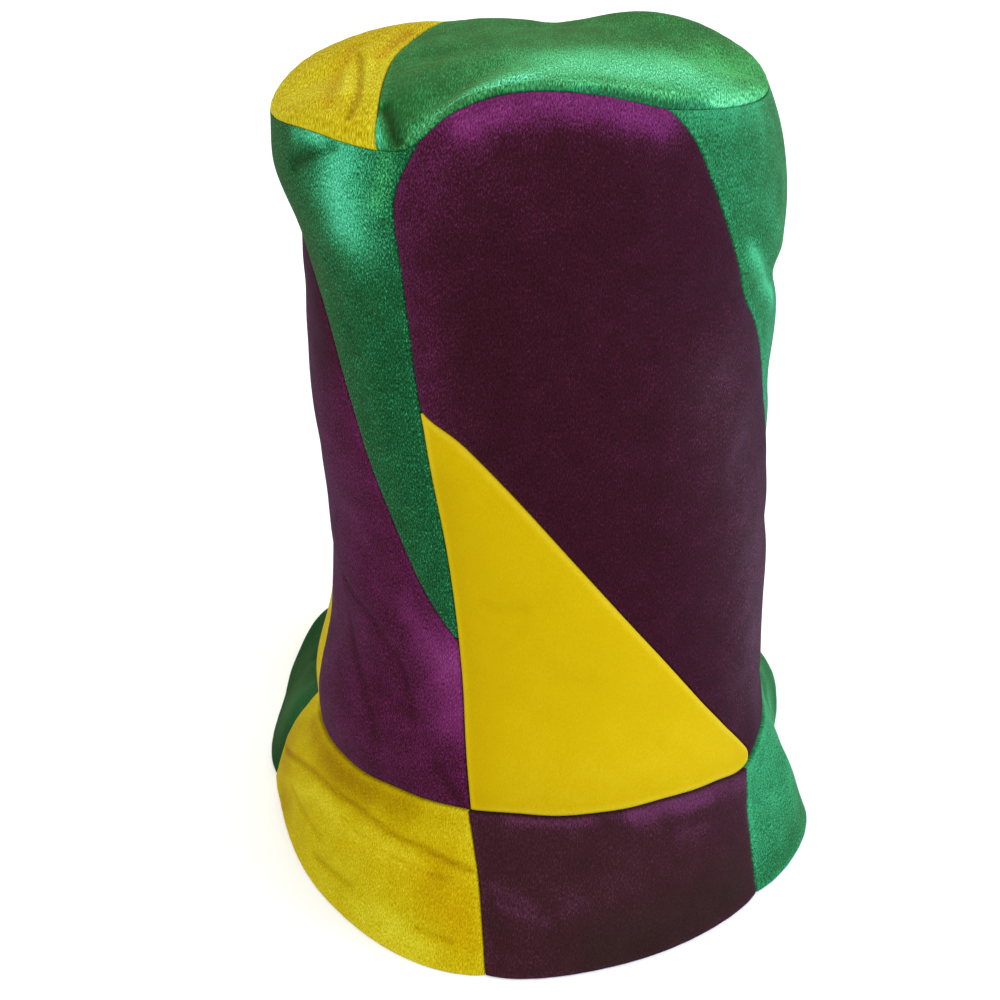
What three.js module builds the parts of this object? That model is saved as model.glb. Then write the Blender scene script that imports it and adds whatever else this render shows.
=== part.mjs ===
// Soft stovepipe hat pieced from padded velvet patches: a leaning crown of two panels with
// diagonal stripes, a vaulted top in two patches, and a skirt brim that rests on its edge.
// Millimetres and degrees, +Z up, front towards -Y. Azimuth 0 is the front, 90 the right side.
import * as THREE from "three";

// Driving sizes
const WALL = 4; // velvet on its foam backing
const SEAM_GAP = 0.5; // clearance between neighbouring patches
const SEAM_DIP = 3; // how far a seam lies below the crown of its patches
const SEAM_REACH = 7; // distance over which a patch rises out of its seam
const LEAN = 10; // the crown leans back over the resting brim
const RING_HEIGHT = 38; // the seam ring's centre above the resting surface
const RING_MITRE = 15; // slope of the seam face between crown and brim
const RIM_MITRE = 45; // slope of the seam face between crown and top
const MITRE_REACH = 0.08; // share of the wall over which its direction turns into a mitre
const TOP_HEIGHT = 288; // the top's middle above the ring
const BRIM_BOW = 2; // how far the brim bows out between ring and edge
const BRIM_FOOT = 6; // least width of the flat on which the brim rests

// The crown's half widths from its axis, by share of the height from the ring to the rim
const CROWN_SECTIONS = [
  { share: 0.0, left: 105, right: 98.5 },
  { share: 0.08, left: 104.5, right: 94 },
  { share: 0.2, left: 97.5, right: 93 },
  { share: 0.38, left: 95.7, right: 92 },
  { share: 0.55, left: 100.5, right: 92 },
  { share: 0.73, left: 102, right: 91 },
  { share: 0.82, left: 103, right: 94 },
  { share: 0.92, left: 111, right: 92.5 },
  { share: 1.0, left: 114, right: 88 },
];

// Height of the rim seam above the ring, by azimuth
const RIM_HEIGHTS = [
  { azimuth: -180, height: 288 },
  { azimuth: -145, height: 291 },
  { azimuth: -115, height: 281 },
  { azimuth: -85, height: 268 },
  { azimuth: -55, height: 268 },
  { azimuth: -36, height: 264 },
  { azimuth: -29, height: 266 },
  { azimuth: -20, height: 279 },
  { azimuth: -8, height: 287 },
  { azimuth: 8, height: 286 },
  { azimuth: 30, height: 278 },
  { azimuth: 80, height: 276 },
  { azimuth: 115, height: 285 },
  { azimuth: 150, height: 295 },
  { azimuth: 180, height: 288 },
];

// The brim's edge: distance from the ring's centre and height above the resting surface
const BRIM_EDGE = [
  { azimuth: -180, reach: 156, lift: 0 },
  { azimuth: -155, reach: 160, lift: 6 },
  { azimuth: -132, reach: 158, lift: 12 },
  { azimuth: -119, reach: 147, lift: 3 },
  { azimuth: -108, reach: 136, lift: 0 },
  { azimuth: -92, reach: 128, lift: 0 },
  { azimuth: -74, reach: 125, lift: 0 },
  { azimuth: -45, reach: 131, lift: 0 },
  { azimuth: -22, reach: 135, lift: 0 },
  { azimuth: -7, reach: 135, lift: 0 },
  { azimuth: 13, reach: 128, lift: 0 },
  { azimuth: 43, reach: 125, lift: 0 },
  { azimuth: 76, reach: 121, lift: 0 },
  { azimuth: 97, reach: 105, lift: 0 },
  { azimuth: 107, reach: 110, lift: 0 },
  { azimuth: 120, reach: 130, lift: 0 },
  { azimuth: 135, reach: 144, lift: 0 },
  { azimuth: 158, reach: 155, lift: 0 },
  { azimuth: 180, reach: 156, lift: 0 },
];

// Crown seams, from the ring up: azimuth by share of the height
const SEAMS = {
  frontPanel: [
    { share: 0.0, azimuth: -18 },
    { share: 0.3, azimuth: -23.5 },
    { share: 0.55, azimuth: -29 },
    { share: 0.75, azimuth: -33 },
    { share: 0.9, azimuth: -32.5 },
    { share: 0.96, azimuth: -30 },
    { share: 1.0, azimuth: -25.5 },
  ],
  frontGoldPurple: [
    { share: 0.0, azimuth: 64 },
    { share: 0.04, azimuth: 57 },
    { share: 0.25, azimuth: 25 },
    { share: 0.47, azimuth: -9 },
    { share: 0.62, azimuth: -30.7 },
    { share: 1.0, azimuth: -90 },
  ],
  frontPurpleGreen: [
    { share: 0.0, azimuth: 162 },
    { share: 0.2, azimuth: 122 },
    { share: 0.4, azimuth: 92 },
    { share: 0.6, azimuth: 72 },
    { share: 0.7, azimuth: 60.5 },
    { share: 0.8, azimuth: 48 },
    { share: 0.9, azimuth: 38 },
    { share: 1.0, azimuth: 28 },
  ],
  backPanel: [
    { share: 0.0, azimuth: 160 },
    { share: 1.0, azimuth: 152 },
  ],
  backGoldPurple: [
    { share: 0.0, azimuth: 279 },
    { share: 0.12, azimuth: 279 },
    { share: 0.25, azimuth: 271 },
    { share: 0.4, azimuth: 252 },
    { share: 1.0, azimuth: 166 },
  ],
  backPurpleGreen: [
    { share: 0.0, azimuth: 372 },
    { share: 0.27, azimuth: 337 },
    { share: 0.36, azimuth: 325 },
    { share: 0.48, azimuth: 315 },
    { share: 0.62, azimuth: 305 },
    { share: 0.75, azimuth: 292 },
    { share: 0.86, azimuth: 270 },
    { share: 1.0, azimuth: 246 },
  ],
};

// Brim seams: azimuth where each leaves the ring and where it meets the edge
const BRIM_SEAMS = {
  goldPurple: { ring: -18.5, edge: -10 },
  purpleGreen: { ring: 61, edge: 47 },
  greenBack: { ring: 150, edge: 152 },
  backGreen: { ring: 205, edge: 204 },
  greenGold: { ring: 265, edge: 275.5 },
};

// The top's seam runs between two azimuths on the rim and bows towards the left, with a wider gap
// because its two patches divide it differently; a corner takes up a share of it at each end
const TOP_SEAM = { front: -36, back: 204, bow: 8, gap: 1.2, corner: 0.04 };

// Where two crown seams meet and where the patch between them ends, in shares of the height
const TIPS = {
  frontGold: { seams: 0.618, patch: 0.608 },
  frontGreen: { seams: 0.012, patch: 0.022 },
  backGreen: { seams: 0.27, patch: 0.28 },
};

// The crown's rows, closer together at its two ends
const ROW_SHARES = [
  ...[0, 0.012, 0.03, 0.07, 0.13, 0.2, 0.33, 0.4, 0.48, 0.55],
  ...[0.66, 0.71, 0.77, 0.83, 0.89, 0.94, 0.972, 0.99, 1],
  ...Object.values(TIPS).flatMap((tip) => [tip.seams, tip.patch]),
].sort((a, b) => a - b);
const CROWN_COLUMNS = 13;
const TOP_ROWS = 9;
const RIM_LEAST_STEP = 1; // azimuths on the rim that are closer than this are one corner
const BRIM_ROWS = 6;
const BRIM_COLUMN = 5.5; // azimuth of one column of a brim patch

// The colours of the pile
const VELVET = { gold: 0xd8bc18, purple: 0x4a1a44, green: 0x178248 };

const radians = THREE.MathUtils.degToRad;

// Reads a table at a place, with smooth slopes between its rows
function readTable(rows, key, place, column) {
  const last = rows.length - 1;
  let next = rows.findIndex((row) => row[key] > place);
  if (next < 0) next = last;
  if (next === 0) next = 1;
  const slopeAt = (index) => {
    const before = rows[Math.max(index - 1, 0)];
    const after = rows[Math.min(index + 1, last)];
    return (after[column] - before[column]) / (after[key] - before[key]);
  };
  const from = rows[next - 1];
  const to = rows[next];
  const span = to[key] - from[key];
  const t = THREE.MathUtils.clamp((place - from[key]) / span, 0, 1);
  const startWeight = 2 * t ** 3 - 3 * t ** 2 + 1;
  const endWeight = 3 * t ** 2 - 2 * t ** 3;
  const startSlope = (t ** 3 - 2 * t ** 2 + t) * span * slopeAt(next - 1);
  const endSlope = (t ** 3 - t ** 2) * span * slopeAt(next);
  return startWeight * from[column] + endWeight * to[column] + startSlope + endSlope;
}

const wrapAzimuth = (azimuth) => THREE.MathUtils.euclideanModulo(azimuth + 180, 360) - 180;
const seamAt = (name, share) => readTable(SEAMS[name], "share", share, "azimuth");
const rimHeight = (azimuth) => readTable(RIM_HEIGHTS, "azimuth", wrapAzimuth(azimuth), "height");

function crownRadius(azimuth, share) {
  const side = Math.sin(radians(azimuth));
  const left = readTable(CROWN_SECTIONS, "share", share, "left");
  const right = readTable(CROWN_SECTIONS, "share", share, "right");
  return (left * (1 - side) + right * (1 + side)) / 2;
}

// A point in the plane of an azimuth, from its distance to the axis and its height
function polarPoint(azimuth, distance, height) {
  const angle = radians(azimuth);
  return new THREE.Vector3(distance * Math.sin(angle), -distance * Math.cos(angle), height);
}

// The turn that half a seam's gap takes up at a distance from the axis
const halfGapTurn = (distance) => THREE.MathUtils.radToDeg(SEAM_GAP / 2 / distance);

// How far a point has risen out of the seams around it, from 0 on a seam to 1
function riseFrom(distances) {
  return distances.reduce((rise, distance) => rise * (1 - Math.exp(-distance / SEAM_REACH)), 1);
}

// A point on the crown, at a depth below its outer surface
function crownPoint(azimuth, share, depth) {
  const toRing = Math.max(0, 1 - share / MITRE_REACH);
  const toRim = Math.max(0, 1 - (1 - share) / MITRE_REACH);
  const slope = radians(RING_MITRE * toRing + RIM_MITRE * toRim);
  const distance = crownRadius(azimuth, share) - depth * Math.cos(slope);
  return polarPoint(azimuth, distance, share * rimHeight(azimuth) - depth * Math.sin(slope));
}

// A closed wall from matching grids of outer and inner points, with rows running along the patch
function closedWall(outer, inner) {
  const rows = outer.length;
  const columns = outer[0].length;
  const positions = [...outer.flat(), ...inner.flat()].flatMap((point) => point.toArray());
  const index = [];
  const quad = (a, b, c, d) => index.push(a, b, c, a, c, d);
  const outerAt = (row, column) => row * columns + column;
  const innerAt = (row, column) => rows * columns + row * columns + column;
  for (let row = 0; row + 1 < rows; row += 1) {
    for (let column = 0; column + 1 < columns; column += 1) {
      const beside = column + 1;
      quad(outerAt(row, column), outerAt(row, beside), outerAt(row + 1, beside), outerAt(row + 1, column));
      quad(innerAt(row, column), innerAt(row + 1, column), innerAt(row + 1, beside), innerAt(row, beside));
    }
    const end = columns - 1;
    quad(outerAt(row, 0), outerAt(row + 1, 0), innerAt(row + 1, 0), innerAt(row, 0));
    quad(outerAt(row, end), innerAt(row, end), innerAt(row + 1, end), outerAt(row + 1, end));
  }
  for (let column = 0; column + 1 < columns; column += 1) {
    const end = rows - 1;
    quad(outerAt(0, column + 1), outerAt(0, column), innerAt(0, column), innerAt(0, column + 1));
    quad(outerAt(end, column), outerAt(end, column + 1), innerAt(end, column + 1), innerAt(end, column));
  }
  const geometry = new THREE.BufferGeometry();
  geometry.setAttribute("position", new THREE.Float32BufferAttribute(positions, 3));
  geometry.setIndex(index);
  geometry.computeVertexNormals();
  return geometry;
}

function velvetMesh(name, colour, geometry) {
  const material = new THREE.MeshStandardMaterial({ color: VELVET[colour], roughness: 0.85, metalness: 0 });
  const mesh = new THREE.Mesh(geometry, material);
  mesh.name = name;
  return mesh;
}

// Shares from 0 to 1 that crowd towards both ends, where a patch rolls into its seams
function crowdedShares(count) {
  return Array.from({ length: count + 1 }, (_, step) => 0.5 - 0.5 * Math.cos((Math.PI * step) / count));
}

// The azimuths of a crown patch's columns at a share of the height
function columnAzimuths(patch, share) {
  const gapTurn = halfGapTurn(crownRadius(0, share));
  const left = patch.left(share) + gapTurn;
  const right = patch.right(share) - gapTurn;
  return crowdedShares(CROWN_COLUMNS).map((across) => THREE.MathUtils.lerp(left, right, across));
}

// One crown patch between two seams that run up it, from one share of the height to another
function crownPatch(patch) {
  const height = rimHeight(0);
  const inset = SEAM_GAP / 2 / height;
  const grid = (inside) =>
    ROW_SHARES.filter((share) => share >= patch.from && share <= patch.to).map((share) => {
      const azimuths = columnAzimuths(patch, share);
      const start = azimuths[0];
      const end = azimuths[CROWN_COLUMNS];
      const ends = [(share - patch.from) * height, (patch.to - share) * height];
      return azimuths.map((azimuth) => {
        const sides = [azimuth - start, end - azimuth].map((turn) => radians(turn) * crownRadius(0, share));
        const depth = SEAM_DIP * (1 - riseFrom([...sides, ...ends])) + (inside ? WALL : 0);
        return crownPoint(azimuth, THREE.MathUtils.clamp(share, inset, 1 - inset), depth);
      });
    });
  return closedWall(grid(false), grid(true));
}

// The crown's patches, in order round the hat: the two seams beside each and how far up it runs
function crownPatches() {
  const seam = (name, turn = 0) => (share) => seamAt(name, share) + turn;
  const frontStart = seam("frontPanel");
  const backStart = seam("backPanel");
  const backEnd = seam("frontPanel", 360);
  const goldEdge = seam("frontGoldPurple");
  const greenEdge = seam("frontPurpleGreen");
  const backGoldEdge = seam("backGoldPurple");
  const backGreenEdge = seam("backPurpleGreen");
  const purpleStart = (share) => Math.max(frontStart(share), goldEdge(share));
  const purpleEnd = (share) => Math.min(greenEdge(share), backStart(share));
  const backPurpleEnd = (share) => Math.min(backGreenEdge(share), backEnd(share));
  return {
    front_gold: { left: frontStart, right: goldEdge, from: 0, to: TIPS.frontGold.patch },
    front_purple: { left: purpleStart, right: purpleEnd, from: 0, to: 1 },
    front_green: { left: greenEdge, right: backStart, from: TIPS.frontGreen.patch, to: 1 },
    back_gold: { left: backStart, right: backGoldEdge, from: 0, to: 1 },
    back_purple: { left: backGoldEdge, right: backPurpleEnd, from: 0, to: 1 },
    back_green: { left: backGreenEdge, right: backEnd, from: TIPS.backGreen.patch, to: 1 },
  };
}

function buildCrown() {
  const crown = new THREE.Group();
  for (const [name, patch] of Object.entries(crownPatches())) {
    const colour = name.split("_")[1];
    crown.add(velvetMesh(`crown_${name}`, colour, crownPatch(patch)));
  }
  return crown;
}

// A point on the top, at a depth below its surface; the depth turns outwards near the rim
function topPoint(x, y, depth) {
  const azimuth = THREE.MathUtils.radToDeg(Math.atan2(x, -y));
  const distance = Math.hypot(x, y);
  const share = Math.min(1, distance / crownRadius(azimuth, 1));
  const height = THREE.MathUtils.lerp(TOP_HEIGHT, rimHeight(azimuth), share ** 2);
  const toRim = Math.max(0, 1 - (1 - share) / MITRE_REACH);
  const slope = radians(90 - (90 - RIM_MITRE) * toRim);
  return polarPoint(azimuth, distance - depth * Math.cos(slope), height - depth * Math.sin(slope));
}

// The azimuths round the rim at which the crown's patches have their corners and columns
function rimAzimuths() {
  const onRim = Object.values(crownPatches()).filter((patch) => patch.to === 1);
  const azimuths = onRim.flatMap((patch) => columnAzimuths(patch, 1)).sort((a, b) => a - b);
  return azimuths.filter((azimuth, place) => place === 0 || azimuth - azimuths[place - 1] > RIM_LEAST_STEP);
}

// One top patch between the top's seam and an arc of the rim that starts at the seam's front end
function topPatch(rimArc, seamSide) {
  const last = rimArc.length - 1;
  const gapTurn = Math.sign(rimArc[1] - rimArc[0]) * halfGapTurn(crownRadius(0, 1));
  const arc = [rimArc[0] + gapTurn, ...rimArc.slice(1, last), rimArc[last] - gapTurn];
  const rimPoint = (azimuth) => polarPoint(azimuth, crownRadius(azimuth, 1) - SEAM_GAP / 2, 0);
  const front = rimPoint(rimArc[0]);
  const back = rimPoint(rimArc[last]);
  const length = front.distanceTo(back);
  const grid = (inside) =>
    crowdedShares(TOP_ROWS).map((out) =>
      arc.map((azimuth) => {
        const along = (azimuth - arc[0]) / (arc[last] - arc[0]);
        const alongSeam = THREE.MathUtils.lerp(TOP_SEAM.corner, 1 - TOP_SEAM.corner, along);
        const onSeam = front.clone().lerp(back, alongSeam);
        onSeam.x += -TOP_SEAM.bow * Math.sin(Math.PI * alongSeam) + (seamSide * TOP_SEAM.gap) / 2;
        const onRim = rimPoint(azimuth);
        const point = onSeam.clone().lerp(onRim, out);
        const width = onSeam.distanceTo(onRim);
        const ends = [along * length, (1 - along) * length];
        const rise = riseFrom([out * width, (1 - out) * width, ...ends]);
        return topPoint(point.x, point.y, SEAM_DIP * (1 - rise) + (inside ? WALL : 0));
      }),
    );
  return seamSide < 0 ? closedWall(grid(false), grid(true)) : closedWall(grid(true), grid(false));
}

function buildTop() {
  const rim = rimAzimuths();
  const nearest = (place) => [...rim].sort((a, b) => Math.abs(a - place) - Math.abs(b - place))[0];
  const front = nearest(TOP_SEAM.front + 360);
  const back = nearest(TOP_SEAM.back);
  const goldArc = rim.filter((azimuth) => azimuth >= back && azimuth <= front).reverse();
  const pastFront = rim.filter((azimuth) => azimuth >= front).map((azimuth) => azimuth - 360);
  const greenArc = [...pastFront, ...rim.filter((azimuth) => azimuth <= back)];
  const top = new THREE.Group();
  top.add(
    velvetMesh("top_gold", "gold", topPatch(goldArc, -1)),
    velvetMesh("top_green", "green", topPatch(greenArc, 1)),
  );
  return top;
}

// A point on the seam ring, with the crown's lean
function ringPoint(azimuth, depth) {
  const slope = radians(RING_MITRE);
  const distance = crownRadius(azimuth, 0) - depth * Math.cos(slope);
  const point = polarPoint(azimuth, distance, -depth * Math.sin(slope));
  point.applyAxisAngle(new THREE.Vector3(1, 0, 0), radians(-LEAN));
  point.z += RING_HEIGHT;
  return point;
}

function edgePoint(azimuth, inset) {
  const place = wrapAzimuth(azimuth);
  const lift = Math.max(0, readTable(BRIM_EDGE, "azimuth", place, "lift"));
  return polarPoint(azimuth, readTable(BRIM_EDGE, "azimuth", place, "reach") - inset, lift);
}

// One brim patch between two seams, from the ring down to the resting edge
function brimPatch(leftSeam, rightSeam, turn) {
  const columns = Math.ceil((rightSeam.ring + turn - leftSeam.ring) / BRIM_COLUMN);
  const grid = (inside) =>
    crowdedShares(BRIM_ROWS).map((up) => {
      const down = 1 - up;
      const left = THREE.MathUtils.lerp(leftSeam.ring, leftSeam.edge, down);
      const right = THREE.MathUtils.lerp(rightSeam.ring, rightSeam.edge, down) + turn;
      return crowdedShares(columns).map((across) => {
        const radius = THREE.MathUtils.lerp(crownRadius(0, 0), BRIM_EDGE[0].reach, down);
        const gapTurn = halfGapTurn(radius);
        const azimuth = THREE.MathUtils.lerp(left + gapTurn, right - gapTurn, across);
        const top = ringPoint(azimuth, SEAM_DIP + (inside ? WALL : 0));
        const edge = edgePoint(azimuth, inside ? BRIM_FOOT : 0);
        const slant = top.distanceTo(edge);
        const width = radians(right - left) * radius;
        const rise = riseFrom([across * width, (1 - across) * width, down * slant]);
        const point = top.clone().lerp(edge, down);
        const outward = polarPoint(azimuth, 1, 0);
        const fall = edge.clone().sub(top).normalize();
        const normal = outward.clone().addScaledVector(fall, -outward.dot(fall)).normalize();
        const bow = (BRIM_BOW + SEAM_DIP) * Math.sin(Math.PI * down) ** 2 * rise;
        point.addScaledVector(normal, bow);
        if (down === 0) point.z -= SEAM_GAP / 2;
        return point;
      });
    });
  return closedWall(grid(false), grid(true));
}

function buildBrim() {
  const seams = BRIM_SEAMS;
  const brim = new THREE.Group();
  brim.add(
    velvetMesh("brim_gold", "gold", brimPatch(seams.greenGold, seams.goldPurple, 360)),
    velvetMesh("brim_purple", "purple", brimPatch(seams.goldPurple, seams.purpleGreen, 0)),
    velvetMesh("brim_green_right", "green", brimPatch(seams.purpleGreen, seams.greenBack, 0)),
    velvetMesh("brim_purple_back", "purple", brimPatch(seams.greenBack, seams.backGreen, 0)),
    velvetMesh("brim_green_left", "green", brimPatch(seams.backGreen, seams.greenGold, 0)),
  );
  return brim;
}

function buildHat() {
  const tube = new THREE.Group();
  tube.add(buildCrown(), buildTop());
  tube.rotation.x = radians(-LEAN);
  tube.position.z = RING_HEIGHT;
  const hat = new THREE.Group();
  hat.add(tube, buildBrim());
  const box = new THREE.Box3().setFromObject(hat, true);
  const centre = box.getCenter(new THREE.Vector3());
  hat.position.set(-centre.x, -centre.y, -box.min.z);
  return hat;
}

export default buildHat();
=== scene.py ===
"""Dresses a soft stovepipe hat that is pieced from padded velvet patches.

The forms are in millimetres and degrees, with +Z up from the surface that the brim rests on and the
front towards -Y. Azimuth 0 is the front and 90 the right side. Meshes are written in metres.
"""

import logging
import math
from collections.abc import Callable
from dataclasses import dataclass
from enum import Enum

import bmesh
import bpy
import numpy as np
from mathutils import Matrix, Vector, noise

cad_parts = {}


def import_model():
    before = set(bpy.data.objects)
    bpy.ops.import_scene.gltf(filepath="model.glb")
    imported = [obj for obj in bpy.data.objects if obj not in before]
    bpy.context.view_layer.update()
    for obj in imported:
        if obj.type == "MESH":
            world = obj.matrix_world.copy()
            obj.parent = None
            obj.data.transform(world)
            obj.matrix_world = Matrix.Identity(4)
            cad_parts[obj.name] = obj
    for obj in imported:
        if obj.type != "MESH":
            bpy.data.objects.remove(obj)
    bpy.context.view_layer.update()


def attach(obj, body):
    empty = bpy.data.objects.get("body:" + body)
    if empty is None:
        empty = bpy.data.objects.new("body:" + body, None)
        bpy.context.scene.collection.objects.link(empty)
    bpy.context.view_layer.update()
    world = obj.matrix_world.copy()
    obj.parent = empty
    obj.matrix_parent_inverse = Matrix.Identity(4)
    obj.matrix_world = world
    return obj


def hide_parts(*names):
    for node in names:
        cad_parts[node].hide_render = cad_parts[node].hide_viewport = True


LOG = logging.getLogger("stovepipe_hat")
METRE = 0.001  # one millimetre in metres
TINY = 1e-9  # keeps a division by a length safe
TINY_SQUARE = 1e-12  # keeps a division by a squared length safe
CHUNK = 1500  # points that are measured at a time
CLOTH_MAP = "cloth"  # the UV map that lays a patch's cloth flat, in metres
# nap carries the pile's lay with painted light and shade, seam the painted shade at stitched edges, and
# tint a turn of hue that is partly a painted haze of sheen.
MARKS = ("nap", "crush", "glint", "seam", "tint")  # the attributes that the velvet's finish reads

Array = np.ndarray
Rows = tuple[tuple[float, float], ...]
Seam = Callable[[Array], Array]  # azimuths by share of the height
Spot = Callable[[Array, Array], tuple[Array, Array]]  # a part's two measures by shares of a patch
Point = Callable[[Array, Array, Array], Array]  # points on the hat by a part's measures and a depth
Flat = Callable[[Array, Array], Array]  # places on flat cloth by a part's measures


@dataclass(frozen=True)
class Table:
    """A smooth curve through a few measured rows of place and value."""

    rows: Rows

    def at(self, place: Array) -> Array:
        """Read the curve.

        Args:
            place: the places at which to read it; past its ends the end value holds.

        Returns:
            The value at each place.
        """
        keys, values = np.array(self.rows, float).T
        last = len(keys) - 1
        before = np.maximum(np.arange(last + 1) - 1, 0)
        after = np.minimum(np.arange(last + 1) + 1, last)
        slopes = (values[after] - values[before]) / (keys[after] - keys[before])
        place = np.asarray(place, float)
        end = np.clip(np.searchsorted(keys, place, side="right"), 1, last)
        start = end - 1
        span = keys[end] - keys[start]
        t = np.clip((place - keys[start]) / span, 0, 1)
        risen = t * t * (3 - 2 * t)
        bend = (t**3 - 2 * t**2 + t) * slopes[start] + (t**3 - t**2) * slopes[end]
        return values[start] * (1 - risen) + values[end] * risen + bend * span


def mix(start: Array, end: Array, share: Array) -> Array:
    """Go from one value to another by a share."""
    return start + (end - start) * share


def polar(azimuth: Array, distance: Array, height: Array) -> Array:
    """Make points from polar places.

    Args:
        azimuth: the points' azimuths.
        distance: their distances to the axis.
        height: their heights.

    Returns:
        The points.
    """
    angle = np.radians(azimuth)
    parts = np.broadcast_arrays(distance * np.sin(angle), -distance * np.cos(angle), height)
    return np.stack(parts, axis=-1)


def unit(vectors: Array) -> Array:
    """The vectors at length one."""
    return vectors / np.maximum(np.linalg.norm(vectors, axis=-1, keepdims=True), TINY)


@dataclass(frozen=True)
class Spacing:
    """How close a patch's grid lines lie: even in the middle, closer where it rolls into its seams."""

    closer: float = 3.5  # how many more lines there are at a side
    roll: float = 2.0  # millimetres from a side over which they thin out
    places: int = 1001  # at which the lines are counted

    def lines(self, length: float, cell: float) -> int:
        """How many cells fill a length, in millimetres, with cells of a size in the middle."""
        return math.ceil((length + 2 * self.closer * self.roll) / cell)

    def spread(self, share: Array, length: float) -> Array:
        """Move even shares of a length towards its ends.

        Args:
            share: shares from 0 to 1 in even steps.
            length: the length that they share, in millimetres.

        Returns:
            The shares, closer to each other near 0 and 1.
        """
        even = np.linspace(0, 1, self.places)
        ends = np.exp(-even * length / self.roll) + np.exp((even - 1) * length / self.roll)
        count = np.concatenate([[0.0], np.cumsum(1 + self.closer * (ends[1:] + ends[:-1]) / 2)])
        return np.interp(share, count / count[-1], even)


def path_distance(points: Array, path: Array) -> tuple[Array, Array]:
    """Measure how far points lie from a path.

    Args:
        points: the points to measure from.
        path: the points that the path runs through, at least one.

    Returns:
        Each point's distance to the path, and how far along the path its nearest place is.
    """
    if len(path) == 1:
        return np.linalg.norm(points - path[0], axis=1), np.zeros(len(points))
    start = path[:-1]
    step = path[1:] - start
    squared = np.maximum((step**2).sum(1), TINY_SQUARE)
    lengths = np.sqrt(squared)
    travelled = np.concatenate([[0.0], np.cumsum(lengths)[:-1]])
    distance = np.empty(len(points))
    along = np.empty(len(points))
    for first in range(0, len(points), CHUNK):
        some = slice(first, first + CHUNK)
        offset = points[some, None, :] - start[None]
        share = np.clip((offset * step).sum(2) / squared, 0, 1)
        gaps = np.linalg.norm(offset - share[..., None] * step, axis=2)
        nearest = gaps.argmin(1)
        each = np.arange(len(nearest))
        distance[some] = gaps[each, nearest]
        along[some] = travelled[nearest] + share[each, nearest] * lengths[nearest]
    return distance, along


@dataclass(frozen=True)
class Wave:
    """One sine of an uneven line: the length of a radian, its strength and where it starts."""

    radian: float
    strength: float
    start: float

    def at(self, place: Array, turns: float = 1.0) -> Array:
        """The wave at places along the line, with its start taken a number of times."""
        return self.strength * np.sin(place / self.radian + self.start * turns)


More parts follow.
